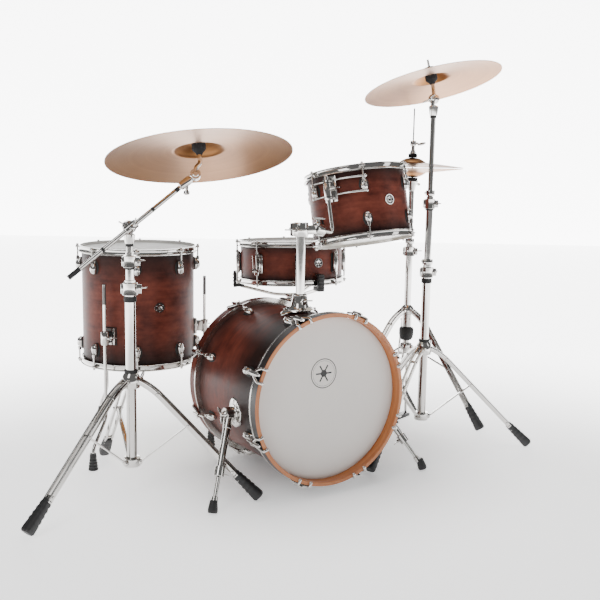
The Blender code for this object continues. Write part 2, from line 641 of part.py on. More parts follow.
def hihat(kit):
    stand = frame("hihat_stand", (*HIHAT_AT, 0.0), parent=kit)
    pedal_axes = frame("hihat_pedal_axes", turn=(0, 0, HIHAT_PEDAL_TURN), parent=stand)
    feet = frame("hihat_foot_axes", parent=stand)
    turn = Matrix.Rotation(HIHAT_PEDAL_TURN, 3, "Z")
    struts = [cylinder(turn @ Vector((0.0, side * 0.006, 0.262)),
                       turn @ Vector((0.020, side * 0.045, 0.010)), 0.0050, 8)
              for side in (-1, 1)]
    plate = [bar(turn @ Vector((0.005, 0, 0.004)), turn @ Vector((0.300, 0, 0.004)),
                 0.060, 0.008),
             bar(turn @ Vector((0.020, -0.052, 0.005)), turn @ Vector((0.020, 0.052, 0.005)),
                 0.030, 0.010),
             bar(turn @ Vector((0.284, 0, 0.012)), turn @ Vector((0.304, 0, 0.012)),
                 0.060, 0.022)]
    joined("hihat_stand_base", feet, "chrome",
           [cylinder((0, 0, 0.250), (0, 0, 0.648), 0.0125, 16),
            cylinder((0, 0, 0.345), (0, 0, 0.396), 0.0175, 16),
            cylinder((0, 0, 0.305), (0, 0, 0.346), 0.0240, 16, 0.0240),
            cylinder((0, 0, 0.395), (0, 0, 0.420), 0.0230, 16),
            cylinder((0, 0, 0.596), (0, 0, 0.648), 0.0160, 16)]
           + tripod(HIHAT_TRIPOD_RADIUS, HIHAT_LEGS, 0.408, (0.060, 0.380), 0.45, 0.275,
                    0.0125)
           + struts + plate,
           [cylinder((0, 0, 0.20), (0, 0, 0.66), 0.0095 + GAP)])
    press = frame("hihat_press", HIHAT_HEEL, parent=pedal_axes)
    heel, toe = Vector(HIHAT_HEEL), Vector(HIHAT_TOE)
    along = toe - heel
    joined("hihat_footboard", press, "black",
           [bar((0, 0, 0), along, 0.070, 0.006),
            cylinder((0, -0.028, 0), (0, 0.028, 0), 0.0050)])
    raise_up = frame("hihat_height_slide", (0, 0, 0.648), parent=stand)
    seat = HAT_SEAT_Z - 0.648 - 2 * GAP
    joined("hihat_upper_tube", raise_up, "chrome",
           [cylinder((0, 0, -0.180), (0, 0, seat - 0.020), 0.0095),
            cylinder((0, 0, seat - 0.034), (0, 0, seat - 0.014), 0.0130, 14, 0.0190),
            cylinder((0, 0, seat - 0.015), (0, 0, seat), 0.0190, 16)],
           [cylinder((0, 0, -0.20), (0, 0, seat + 0.01), 0.0036, 10)])
    spin = frame("lower_hat_spin", (0, 0, HAT_EDGE_Z - 0.648), parent=raise_up)
    cymbal("lower_hat", spin, HAT_RADIUS, HAT_HEIGHT, up=-1)
    pull = frame("hihat_pull", (0, 0, HAT_EDGE_Z - 0.648), parent=raise_up)
    piece("hihat_pull_rod", pull, "chrome",
          cylinder((0, 0, 0.280 - HAT_EDGE_Z), (0, 0, 1.123 - HAT_EDGE_Z), 0.0030, 10))
    clutch = frame("clutch_slide", (0, 0, HAT_OPENING), parent=pull)
    cymbal("upper_hat", clutch, HAT_RADIUS, HAT_HEIGHT)
    top = HAT_HEIGHT
    joined("hihat_clutch", clutch, "chrome",
           [cylinder((0, 0, top + GAP), (0, 0, top + 0.012), 0.0150, 16),
            cylinder((0, 0, top - 0.014), (0, 0, top + 0.052), 0.0058, 12),
            cylinder((0, 0, top + 0.040), (0, 0, top + 0.058), 0.0095, 14),
            bar((0, 0, top + 0.050), (0.034, 0, top + 0.056), 0.006, 0.012)],
           [cylinder((0, 0, -0.02), (0, 0, top + 0.08), 0.0036, 10)])


# ---------------------------------------------------------------- snare and its stand
SNARE_TILT_Z = 0.440
SNARE_LEAN = math.radians(-2.5)
GRIP_SIDES = (-91.0, 29.0, 149.0)
STRAINER_SIDE = math.radians(203.0)


def snare_stand(kit):
    stand = stand_base("snare_stand", SNARE_AT, SNARE_LEGS, kit, 0.330, 0.0125, 0.0095,
                       0.120, radius=SNARE_TRIPOD_RADIUS, hub_z=0.215, bracket_z=0.075,
                       knee=(0.045, 0.205), joint=0.40)
    pivot = Vector((0, 0, SNARE_TILT_Z - 0.330))
    slide, shapes, _ = tube_section("snare_tube", "snare_height_slide", stand, 0.330,
                                    0.120, pivot.z - 0.018, 0.0095)
    shapes += hinge_half(pivot, Matrix.Identity(3), -1, 0.0160, 0.030)
    joined("snare_stand_tube", slide, "chrome", shapes)
    tilt = frame("snare_tilt", pivot, (SNARE_LEAN, 0.0, 0.0), slide)
    rest = SNARE_BOTTOM - SNARE_TILT_Z - 0.0006
    shapes = [cylinder((GAP, 0, 0), (0.011, 0, 0), 0.0160, 16),
              cylinder((0.0056, 0, 0), (0.0056, 0, 0.024), 0.0050, 10),
              cylinder((0, 0, 0.018), (0, 0, 0.030), 0.0220, 16)]
    hoop = SNARE_RADIUS + HOOP_FLANGE
    for side in GRIP_SIDES:
        angle = math.radians(side)
        shapes += [bar(ring_bar(angle, 0.012, 0.024), ring_bar(angle, hoop - 0.018, rest - 0.012),
                       0.014, 0.006),
                   bar(ring_bar(angle, hoop - 0.024, rest - 0.010),
                       ring_bar(angle, hoop + 0.014, rest - 0.010), 0.024, 0.0200),
                   block(ring_bar(angle, hoop + 0.009, rest + 0.011), (0.014, 0.022, 0.058),
                         angle)]
    joined("snare_basket", tilt, "chrome", shapes)
    return tilt


def snare(tilt):
    bottom = SNARE_BOTTOM - SNARE_TILT_Z + HOOP_RISE
    drum = frame("snare_drum", (0, 0, bottom), parent=tilt)
    metal_hooped_drum("snare", drum, SNARE_RADIUS, SNARE_DEPTH)
    side = frame("strainer_side", (0, 0, 0), (0, 0, STRAINER_SIDE), drum)
    face = SNARE_RADIUS + 0.0006
    joined("snare_strainer", side, "chrome",
           [block((face + 0.008, 0, 0.062), (0.014, 0.026, 0.062)),
            block((face + 0.014, 0, 0.036), (0.012, 0.018, 0.022))])
    lever = frame("strainer_throw", (face + 0.026, 0, 0.042), parent=side)
    joined("strainer_lever", lever, "chrome",
           [cylinder((0, -0.010, 0), (0, 0.010, 0), 0.0055),
            bar((0, 0, 0.002), (0.004, 0, 0.048), 0.016, 0.004)])
    wires = frame("snare_wire_drop", (0, 0, 0), parent=drum)
    piece("snare_wires", wires, "chrome",
          block((0, 0, -0.0033), (0.318, 0.042, 0.0008)))


# ---------------------------------------------------------------- the kit
def build():
    kit = frame("kit", (-KIT_CENTRE[0], -KIT_CENTRE[1], 0.0))
    bass_drum(kit)
    slide, collar_top = tom_mount(kit)
    rack_tom(tom_clamp(slide, collar_top))
    spur(kit, "left_spur", -1)
    spur(kit, "right_spur", 1)
    pedal(kit)
    floor_tom(kit)
    snare(snare_stand(kit))
    hihat(kit)
    boom_stand(kit)
    crash_stand(kit)


build()
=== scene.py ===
"""Looks of the acoustic drum kit: fine surfaces, fittings, finishes, studio and camera.

Units are metres. Every piece is modelled in the axes of its own frame, then rides on
its CAD body.
"""
import math

import bmesh
import bpy
from mathutils import Euler, Matrix, Vector


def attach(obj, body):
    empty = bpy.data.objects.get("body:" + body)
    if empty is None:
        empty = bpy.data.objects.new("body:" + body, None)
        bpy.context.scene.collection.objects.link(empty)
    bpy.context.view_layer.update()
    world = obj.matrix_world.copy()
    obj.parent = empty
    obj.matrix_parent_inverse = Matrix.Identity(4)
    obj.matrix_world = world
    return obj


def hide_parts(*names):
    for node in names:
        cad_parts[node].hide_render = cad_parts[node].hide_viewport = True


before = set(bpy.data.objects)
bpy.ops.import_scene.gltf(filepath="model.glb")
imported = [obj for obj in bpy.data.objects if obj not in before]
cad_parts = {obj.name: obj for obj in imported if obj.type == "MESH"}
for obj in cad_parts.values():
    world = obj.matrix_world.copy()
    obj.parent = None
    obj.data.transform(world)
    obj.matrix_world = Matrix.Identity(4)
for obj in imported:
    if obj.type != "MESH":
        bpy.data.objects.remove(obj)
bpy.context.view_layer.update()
X_WAY, Y_WAY, Z_WAY = Vector((1, 0, 0)), Vector((0, 1, 0)), Vector((0, 0, 1))


def place(at=(0.0, 0.0, 0.0), turn=(0.0, 0.0, 0.0)):
    """The matrix of a frame at a point, turned by XYZ Euler angles."""
    return Matrix.LocRotScale(Vector(at), Euler(turn), None)


def about_z(angle):
    """The matrix of a turn about +Z, in radians."""
    return place(turn=(0, 0, angle))


# ---------------------------------------------------------------- finishes
def shader(name, colour, roughness, metallic=0.0, **more):
    made = bpy.data.materials.new(name)
    made.use_nodes = True
    node = made.node_tree.nodes["Principled BSDF"]
    node.inputs["Base Color"].default_value = (*colour, 1.0)
    node.inputs["Roughness"].default_value = roughness
    node.inputs["Metallic"].default_value = metallic
    for key, value in more.items():
        node.inputs[key.replace("_", " ")].default_value = value
    made.diffuse_color = (*colour, 1.0)
    return made


class Nodes:
    """Short calls for a material's node tree."""

    def __init__(self, made):
        self.tree = made.node_tree
        self.out = self.tree.nodes["Principled BSDF"]
        self.at = self.new("ShaderNodeTexCoord").outputs["Object"]

    def new(self, kind, links=(), **values):
        node = self.tree.nodes.new(kind)
        for key, value in values.items():
            setattr(node, key, value)
        for socket, source in dict(links).items():
            if isinstance(source, bpy.types.NodeSocket):
                self.tree.links.new(source, node.inputs[socket])
            else:
                node.inputs[socket].default_value = source
        return node

    def math(self, operation, a, b=0.0):
        return self.new("ShaderNodeMath", {0: a, 1: b}, operation=operation).outputs[0]

    def noise(self, vector, scale, detail=4.0, roughness=0.55):
        return self.new("ShaderNodeTexNoise", {
            "Vector": vector, "Scale": scale, "Detail": detail,
            "Roughness": roughness}).outputs["Fac"]

    def scaled(self, vector, scale):
        return self.new("ShaderNodeMapping", {"Vector": vector, "Scale": scale}).outputs[0]

    def spread(self, value, low, high, to_low=0.0, to_high=1.0, smooth=False):
        node = self.new("ShaderNodeMapRange", {0: value, 1: low, 2: high, 3: to_low, 4: to_high})
        node.interpolation_type = "SMOOTHSTEP" if smooth else "LINEAR"
        return node.outputs[0]

    def distance(self, point):
        return self.new("ShaderNodeVectorMath", {0: self.at, 1: point},
                        operation="DISTANCE").outputs["Value"]

    def mix(self, factor, a, b, blend="MIX"):
        return self.new("ShaderNodeMix", {0: factor, 6: a, 7: b}, data_type="RGBA",
                        blend_type=blend).outputs[2]

    def set(self, socket, source):
        self.tree.links.new(source, self.out.inputs[socket])

    def bump(self, height, strength, distance):
        self.set("Normal", self.new("ShaderNodeBump", {
            "Height": height, "Strength": strength, "Distance": distance}).outputs[0])


def walnut(name, length, centre=None, fade=(0.30, 1.0)):
    """Satin stained wood with the grain round the drum, darker towards both edges."""
    made = shader(name, (0.115, 0.026, 0.016), 0.42, Specular_IOR_Level=0.12)
    n = Nodes(made)
    z = n.new("ShaderNodeSeparateXYZ", {0: n.at}).outputs["Z"]
    middle = length / 2 if centre is None else centre
    edge = n.spread(n.math("ABSOLUTE", n.math("SUBTRACT", z, middle)),
                    length / 2 * fade[0], length / 2 * fade[1], smooth=True)
    streak = n.noise(n.scaled(n.at, (6.0, 6.0, 70.0)), 1.0, 6.0, 0.62)
    blotch = n.noise(n.scaled(n.at, (13.0, 13.0, 17.0)), 1.0, 4.0, 0.60)
    flame = n.noise(n.scaled(n.at, (30.0, 30.0, 46.0)), 1.0, 3.0, 0.55)
    grain = n.math("ADD", n.math("MULTIPLY", streak, 0.28),
                   n.math("ADD", n.math("MULTIPLY", blotch, 0.45),
                          n.math("MULTIPLY", flame, 0.27)))
    wood = n.mix(n.spread(grain, 0.36, 0.64), (0.054, 0.0125, 0.0092, 1), (0.178, 0.046, 0.030, 1))
    dark = n.mix(n.spread(grain, 0.36, 0.64), (0.010, 0.0052, 0.0048, 1),
                 (0.026, 0.0115, 0.0095, 1))
    n.set("Base Color", n.mix(edge, wood, dark))
    n.set("Roughness", n.spread(grain, 0.36, 0.64, 0.36, 0.46))
    n.bump(streak, 0.10, 0.0003)
    return made


def maple():
    made = shader("maple", (0.52, 0.21, 0.07), 0.38, Coat_Weight=0.25, Coat_Roughness=0.25)
    n = Nodes(made)
    grain = n.noise(n.scaled(n.at, (9.0, 9.0, 110.0)), 1.0, 5.0, 0.6)
    n.set("Base Color",
          n.mix(n.spread(grain, 0.3, 0.7), (0.35, 0.100, 0.022, 1), (0.50, 0.175, 0.048, 1)))
    n.bump(grain, 0.08, 0.0003)
    return made


def bronze():
    """Lathe rings, a fine brushed sheen round the bell and faint cloudy tarnish."""
    made = shader("bronze", (0.62, 0.36, 0.18), 0.32, 1.0, Anisotropic=0.75)
    n = Nodes(made)
    split = n.new("ShaderNodeSeparateXYZ", {0: n.at}).outputs
    flat = n.new("ShaderNodeCombineXYZ", {0: split["X"], 1: split["Y"]}).outputs[0]
    radius = n.new("ShaderNodeVectorMath", {0: flat}, operation="LENGTH").outputs["Value"]
    line = n.new("ShaderNodeCombineXYZ", {0: radius}).outputs[0]
    rings = n.noise(line, 900.0, 3.0, 0.7)
    broad = n.noise(line, 60.0, 3.0, 0.6)
    cloud = n.noise(n.at, 7.0, 3.0, 0.5)
    shade = n.math("ADD", n.math("MULTIPLY", rings, 0.35),
                   n.math("ADD", n.math("MULTIPLY", broad, 0.35),
                          n.math("MULTIPLY", cloud, 0.30)))
    n.set("Base Color",
          n.mix(n.spread(shade, 0.35, 0.65), (0.28, 0.122, 0.044, 1), (0.42, 0.205, 0.082, 1)))
    n.set("Roughness", n.spread(rings, 0.3, 0.7, 0.27, 0.40))
    n.set("Tangent", n.new("ShaderNodeTangent", direction_type="RADIAL", axis="Z").outputs[0])
    n.bump(rings, 0.25, 0.0004)
    return made


def chrome():
    made = shader("chrome", (0.58, 0.565, 0.545), 0.07, 1.0)
    n = Nodes(made)
    n.set("Roughness", n.spread(n.noise(n.at, 60.0, 3.0), 0.35, 0.65, 0.05, 0.11))
    return made


def coated(name, colour, roughness=0.62):
    """A drum head with a fine sprayed coat."""
    made = shader(name, colour, roughness)
    n = Nodes(made)
    cloud = n.noise(n.at, 9.0, 3.0)
    n.set("Base Color",
          n.mix(n.spread(cloud, 0.3, 0.7), (*[c * 0.955 for c in colour], 1), (*colour, 1)))
    n.bump(n.noise(n.at, 900.0, 2.0), 0.15, 0.0002)
    return made


def rubber():
    made = shader("rubber", (0.018, 0.018, 0.019), 0.55)
    n = Nodes(made)
    n.bump(n.noise(n.at, 700.0, 2.0), 0.2, 0.0003)
    return made


CHROME, BRONZE, RUBBER, MAPLE = chrome(), bronze(), rubber(), maple()
COATED = coated("coated_white", (0.84, 0.83, 0.80))
SMOOTH = coated("smooth_white", (0.72, 0.685, 0.65), 0.45)
CLEAR = coated("clear_cream", (0.66, 0.62, 0.53), 0.30)
BLACK = shader("black_satin", (0.016, 0.015, 0.015), 0.40)
FELT = shader("black_felt", (0.010, 0.010, 0.011), 0.95)
# One dark finish for real dark parts (gaskets, pads, bushes, grip rings, the hi-hat housing) and
# also for painted shade: thin dark sheets and bands in clamp splits, lock and bracket seams, and
# the badges' hole and groove.
DARK = shader("dark_part_and_gap_shade", (0.012, 0.012, 0.012), 0.7)
INK = shader("emblem_ink", (0.012, 0.012, 0.013), 0.5)
INLAY = shader("inlay_silver", (0.62, 0.60, 0.57), 0.22, 1.0)
KNURL = shader("knurled_steel", (0.16, 0.155, 0.15), 0.45, 1.0)
WIRE = shader("snare_wire_steel", (0.60, 0.60, 0.59), 0.25, 1.0)


# ---------------------------------------------------------------- shapes
def chamfered(radius, length, end_radius=None):
    """The profile of a round bar whose ends have a small chamfer."""
    end = radius if end_radius is None else end_radius
    cut = min(0.0012, 0.2 * min(radius, end), 0.2 * length)
    return [(0.0, 0.0), (radius - cut, 0.0), (radius, cut), (end, length - cut),
            (end - cut, length), (0.0, length)]


def along(start, end):
    """A frame at start whose +Z points at end."""
    start, end = Vector(start), Vector(end)
    turn = (end - start).to_track_quat("Z", "Y").to_matrix().to_4x4()
    return Matrix.Translation(start) @ turn


def ends_in(at, start, end):
    """Both ends of a bar as vectors, moved by the frame they are given in."""
    turn = at or Matrix.Identity(4)
    return turn @ Vector(start), turn @ Vector(end)


def ring_at(angle, radius, z):
    return Vector((radius * math.cos(angle), radius * math.sin(angle), z))


class Shape:
    """Collects surfaces that make one piece."""

    def __init__(self):
        self.points, self.faces = [], []

    def add(self, points, faces, at=None):
        first = len(self.points)
        self.points += [(at @ Vector(p)) if at else Vector(p) for p in points]
        self.faces += [tuple(first + i for i in face) for face in faces]
        return self

    def turned(self, profile, at=None, sides=96, closed=False):
        """Turn (radius, height) points about Z."""
        points = [(r * math.cos(i * math.tau / sides), r * math.sin(i * math.tau / sides), z)
                  for r, z in profile for i in range(sides)]
        rows = len(profile)
        faces = []
        for row in range(rows if closed else rows - 1):
            a, b = row * sides, (row + 1) % rows * sides
            faces += [(a + i, a + (i + 1) % sides, b + (i + 1) % sides, b + i)
                      for i in range(sides)]
        return self.add(points, faces, at)

    def rod(self, start, end, radius, end_radius=None, sides=24, at=None):
        start, end = ends_in(at, start, end)
        length = (end - start).length
        return self.turned(chamfered(radius, length, end_radius), along(start, end), sides)

    def pipe(self, start, end, radius, bore, sides=32, at=None):
        """A tube with an open bore."""
        start, end = ends_in(at, start, end)
        length = (end - start).length
        cut = 0.0008
        return self.turned([(bore, 0), (radius - cut, 0), (radius, cut), (radius, length - cut),
                            (radius - cut, length), (bore, length)],
                           along(start, end), sides, closed=True)

    def loft(self, rings, at=None):
        """Join rings of the same number of points, with both ends closed."""
        count = len(rings[0])
        faces = [tuple(reversed(range(count)))]
        for row in range(len(rings) - 1):
            a, b = row * count, (row + 1) * count
            faces += [(a + i, a + (i + 1) % count, b + (i + 1) % count, b + i)
                      for i in range(count)]
        faces.append(tuple((len(rings) - 1) * count + i for i in range(count)))
        return self.add([p for ring in rings for p in ring], faces, at)

    def bent(self, route, radius=None, sides=20, flat=None):
        """A bar through points; flat gives (half width, half thickness) and keeps its
        width square to the route's plane."""
        route = [Vector(p) for p in route]
        rings = []
        normal = None
        for i, point in enumerate(route):
            before = route[max(i - 1, 0)]
            after = route[min(i + 1, len(route) - 1)]
            way = (after - before).normalized()
            if normal is None:
                normal = way.orthogonal().normalized()
                if flat:
                    side = way.cross(Z_WAY)
                    normal = side.normalized() if side.length > 1e-4 else normal
            normal = (normal - way * normal.dot(way)).normalized()
            other = way.cross(normal)
            if flat:
                rings.append(section(point, normal, other, flat[0], flat[1], 5.0, sides))
            else:
                rings.append(section(point, normal, other, radius, radius, 2.0, sides))
        return self.loft(rings)

    def ball(self, centre, radii, at=None, sides=24, rows=14):
        """A sphere or ellipsoid."""
        spin = [(max(1e-6, math.sin(math.pi * k / rows)), -math.cos(math.pi * k / rows))
                for k in range(rows + 1)]
        turn = Matrix.Translation(Vector(centre)) @ Matrix.Diagonal((*radii, 1.0))
        return self.turned(spin, (at or Matrix.Identity(4)) @ turn, sides)

    def block(self, centre, size, at=None, edge=0.001):
        """A box with softened edges."""
        mesh = bmesh.new()
        bmesh.ops.create_cube(mesh, size=1.0)
        bmesh.ops.scale(mesh, vec=Vector(size), verts=mesh.verts)
        bmesh.ops.bevel(mesh, geom=mesh.edges[:], offset=min(edge, 0.3 * min(size)),
                        segments=2, profile=0.5, affect="EDGES")
        mesh.verts.index_update()
        points = [v.co + Vector(centre) for v in mesh.verts]
        faces = [tuple(v.index for v in f.verts) for f in mesh.faces]
        mesh.free()
        return self.add(points, faces, at)

    def bar(self, start, end, width, thickness, edge=0.001, at=None):
        """A flat bar between two points, its width level."""
        start, end = ends_in(at, start, end)
        return self.block((0, 0, (end - start).length / 2),
                          (width, thickness, (end - start).length), along(start, end), edge)


def section(centre, across, up, half_width, half_height, power=2.0, sides=24):
    """A ring of points: an ellipse, or a softer box for a higher power."""
    ring = []
    for i in range(sides):
        c, s = math.cos(i * math.tau / sides), math.sin(i * math.tau / sides)
        x = math.copysign(abs(c) ** (2 / power), c) * half_width
        y = math.copysign(abs(s) ** (2 / power), s) * half_height
        ring.append(Vector(centre) + across * x + up * y)
    return ring


def curved(corners, reach, steps=6):
    """Round the inner corners of a route."""
    route = [Vector(corners[0])]
    for before, corner, after in zip(corners, corners[1:], corners[2:]):
        before, corner, after = Vector(before), Vector(corner), Vector(after)
        start = corner + (before - corner).normalized() * reach
        end = corner + (after - corner).normalized() * reach
        for k in range(steps + 1):
            t = k / steps
            route.append(start * (1 - t) ** 2 + corner * 2 * t * (1 - t) + end * t * t)
    return route + [Vector(corners[-1])]


def make(name, body, finish, shape, at=None, stands_for=(), sharp=38.0):
    """One piece from a shape, riding on a body and standing for CAD nodes."""
    mesh = bpy.data.meshes.new(name)
    mesh.from_pydata([tuple(p) for p in shape.points], [], shape.faces)
    work = bmesh.new()
    work.from_mesh(mesh)
    bmesh.ops.remove_doubles(work, verts=work.verts, dist=0.0000004)
    bmesh.ops.recalc_face_normals(work, faces=work.faces)
    work.to_mesh(mesh)
    work.free()
    mesh.shade_smooth()
    mesh.set_sharp_from_angle(angle=math.radians(sharp))
    made = bpy.data.objects.new(name, mesh)
    bpy.context.scene.collection.objects.link(made)
    made.matrix_world = at or Matrix.Identity(4)
    mesh.materials.append(finish)
    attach(made, body)
    if stands_for:
        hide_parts(*stands_for)
    return made


def wing(shape, at, reach=0.017, tilt=0.35):
    """A wing nut: a hub along +Z and two ears."""
    shape.turned([(0, 0), (0.0062, 0), (0.0062, 0.004), (0.0045, 0.010), (0, 0.011)], at, 20)
    for side in (-1, 1):
        ear = []
        for k in range(9):
            t = k / 8
            wide = 0.0046 * math.sin(math.pi * (0.22 + 0.72 * t)) + 0.0006
            ear.append(section((side * (0.003 + reach * t), 0, 0.006 + reach * tilt * t), Y_WAY,
                               Vector((side * -tilt, 0, 1)).normalized(), 0.0021, wide, 2.0, 14))
        shape.loft(ear, at)
    return shape


def clamp(shape, dark, z, radius, side, height=0.034, reach=0.017):
    """A split clamp round a tube: a thick ring, its lug, a hinge pin and a wing nut."""
    turn = about_z(side)
    out = radius + 0.0065
    half = height / 2
    shape.turned([(radius - 0.0005, z - half), (out - 0.001, z - half), (out, z - half + 0.0015),
                  (out - 0.0012, z - 0.004), (out - 0.0012, z + 0.004), (out, z + half - 0.0015),
                  (out - 0.001, z + half), (radius - 0.0005, z + half)], None, 40, closed=True)
    shape.block((out + 0.003, 0.0, z), (0.014, 0.015, height * 0.72), turn, 0.002)
    shape.rod((out + 0.005, -0.013, z), (out + 0.005, 0.015, z), 0.0045, at=turn)
    wing(shape, turn @ place((out + 0.005, 0.013, z), (-math.pi / 2, 0, 0)), reach)
    shape.block((-out, 0.0, z), (0.008, 0.012, height * 0.8), turn, 0.002)
    # Painted shade: a thin dark sheet set in the clamp's split, where there is only shade.
    dark.block((out + 0.003, 0.0, z), (0.0150, 0.0016, height * 0.60), turn, 0.0003)


# ---------------------------------------------------------------- drums
GAP = 0.0003
TWELVE_INCH, FOURTEEN_INCH = 0.1524, 0.1778
HOOP_RISE, HOOP_SKIRT, HOOP_FLANGE = 0.0105, 0.0095, 0.0111


def skin_profile(radius, collar, depth=0.007):
    """A head stretched over the bearing edge, with its crown just inside the hoop."""
    rim = radius + collar
    return [(0.0, 0.0013), (radius - 0.010, 0.0013), (radius - 0.002, 0.0012),
            (radius + 0.0010, 0.0004), (rim - 0.0006, -0.0005), (rim, -0.0015), (rim, -depth),
            (radius + GAP, -depth), (radius + GAP, GAP - 0.0004), (0.0, GAP - 0.0004)]


def hoop_profile(radius):
    """A pressed hoop: rolled lip, waist and the flange that takes the rods."""
    wall, out = radius + 0.0045, radius + HOOP_FLANGE
    return [(wall, HOOP_RISE - 0.0006), (wall + 0.0006, HOOP_RISE), (wall + 0.0040, HOOP_RISE),
            (wall + 0.0048, HOOP_RISE - 0.0008), (wall + 0.0048, HOOP_RISE - 0.0022),
            (wall + 0.0040, HOOP_RISE - 0.0030), (wall + 0.0022, HOOP_RISE - 0.0038),
            (wall + 0.0018, HOOP_RISE - 0.0060), (wall + 0.0018, -0.0030),
            (wall + 0.0024, -0.0046), (wall + 0.0042, -0.0056), (out - 0.0008, -0.0060),
            (out, -0.0070), (out, -0.0088), (out - 0.0008, -0.0095), (wall, -HOOP_SKIRT)]


def edge_of(profile, z, up):
    return [(r, z + up * h) for r, h in profile]


def teardrop(shape, gasket, at, up, length=0.041, width=0.0125):
    """A bullet lug on a shell. Its frame: +X out of the shell, +Z towards the hoop."""
    rings = []
    for k in range(15):
        t = k / 14
        swell = math.sin(math.pi * min(1.0, 0.10 + 0.86 * t ** 0.85)) ** 0.62
        z = up * (length * (t - 0.5))
        rings.append(section((0.0085 * swell, 0, z), X_WAY, Y_WAY, max(0.0015, 0.0098 * swell),
                             max(0.0018, width * swell * 0.86), 2.4, 24))
    shape.loft(rings, at)
    shape.ball((0.0155, 0, up * -0.002), (0.0045, 0.0048, length * 0.33), at)
    shape.rod((0.0125, 0, up * length * 0.30), (0.0125, 0, up * (length * 0.5 + 0.004)), 0.0058,
              0.0050, 20, at=at)
    gasket.ball((0.0004, 0, 0), (0.0030, width + 0.0020, length / 2 + 0.0018), at)


def tube_lug(shape, gasket, at, length):
    """A long lug that takes a rod at each end."""
    rings = []
    for k in range(17):
        t = k / 16
        swell = math.sin(math.pi * (0.12 + 0.76 * t)) ** 0.45
        rings.append(section((0.009, 0, length * (t - 0.5)), X_WAY,
                             Y_WAY, 0.0090 * swell, 0.0085 * swell, 2.6, 24))
    shape.loft(rings, at)
    for up in (-1, 1):
        shape.rod((0.0125, 0, up * length * 0.42), (0.0125, 0, up * (length * 0.5 + 0.004)),
                  0.0056, 0.0048, 20, at=at)
    gasket.block((0.0012, 0, 0), (0.0030, 0.024, length * 0.86), at, 0.001)


def tension_rod(shape, at, low, high, up):
    """A rod from a lug to a hoop, with the hoop's ear, a washer and a round head."""
    x = 0.0128
    shape.rod((x, 0, low), (x, 0, high + up * 0.003), 0.0026, sides=16, at=at)
    shape.block((x - 0.001, 0, high - up * 0.0015), (0.013, 0.019, 0.0040), at, 0.0015)
    shape.rod((x, 0, high), (x, 0, high + up * 0.0040), 0.0060, 0.0052, 20, at=at)
    shape.rod((x, 0, high + up * 0.0035), (x, 0, high + up * 0.0090), 0.0042, 0.0036, 16, at=at)


def badge(name, body, at, radius):
    """A plain round vent badge: a rim, a ring and a boss, with no lettering."""
    disc, dark = Shape(), Shape()
    lift = place((0.0004, 0, 0), (0, math.pi / 2, 0))
    disc.turned([(0.0030, 0.0016), (0.0042, 0.0024), (radius * 0.50, 0.0024),
                 (radius * 0.50, 0.0012), (radius * 0.80, 0.0012), (radius * 0.80, 0.0026),
                 (radius * 0.95, 0.0026), (radius, 0.0010), (radius, -0.0016)], at @ lift, 48)
    for k in range(6):
        turn = about_z(k * math.tau / 6)
        disc.block((radius * 0.65, 0, 0.0016), (radius * 0.22, radius * 0.16, 0.0014),
                   at @ lift @ turn, 0.0003)
    # Painted shade: a dark disc in the vent hole and a dark ring in the groove, where shade falls.
    dark.turned([(0, 0.0006), (0.0030, 0.0006)], at @ lift, 24)
    dark.turned([(radius * 0.49, 0.00135), (radius * 0.81, 0.00135)], at @ lift, 48)
    make(name, body, CHROME, disc)
    make(name + "_recess_shade", body, DARK, dark)


def metal_drum(prefix, body, drum, radius, depth, lugs, upper, lower):
    """Shell, heads, hoops, lugs and rods of one drum; drum is its frame."""
    wood = walnut(prefix + "_walnut", depth)
    inner = radius - 0.006
    make(prefix + "_shell_look", body, wood,
         Shape().turned([(inner, depth), (radius - 0.0012, depth), (radius, depth - 0.0012),
                         (radius, 0.0012), (radius - 0.0012, 0), (inner, 0)],
                        sides=160, closed=True), drum, [prefix + "_shell"])
    for word, z, up, finish in (("top", depth, 1, COATED), ("bottom", 0.0, -1, CLEAR)):
        make("%s_%s_head_look" % (prefix, word), body, finish,
             Shape().turned(edge_of(skin_profile(radius, 0.0042), z, up), sides=160), drum,
             ["%s_%s_head" % (prefix, word)])
        make("%s_%s_hoop_look" % (prefix, word), body, CHROME,
             Shape().turned(edge_of(hoop_profile(radius), z, up), sides=160, closed=True),
             drum, ["%s_%s_hoop" % (prefix, word)])
    metal, gasket = Shape(), Shape()
    for angle in lugs:
        out = drum @ about_z(angle) @ place((radius, 0, 0))
        if upper is None:
            tube_lug(metal, gasket, out @ place((0, 0, depth / 2)), 0.074)
            ends = (depth / 2 - 0.040, depth / 2 + 0.040)
        else:
            teardrop(metal, gasket, out @ place((0, 0, depth - upper)), 1)
            teardrop(metal, gasket, out @ place((0, 0, lower)), -1)
            ends = (lower - 0.022, depth - upper + 0.022)
        tension_rod(metal, out, ends[0], -0.0050, -1)
        tension_rod(metal, out, ends[1], depth + 0.0050, 1)
    make(prefix + "_lugs", body, CHROME, metal)
    make(prefix + "_gaskets", body, DARK, gasket)


def spokes(count, first):
    return [math.radians(first + k * 360 / count) for k in range(count)]


# ---------------------------------------------------------------- bass drum
KIT = place((0.003, -0.4975, 0.0))
BASS_RADIUS, BASS_DEPTH, BASS_LENGTH = 0.2286, 0.356, 0.422
HOOP_OUTER, HOOP_INNER, HOOP_WIDTH = 0.2445, 0.2335, 0.038
FRONT_Z, REAR_Z = 0.2735, 0.2602


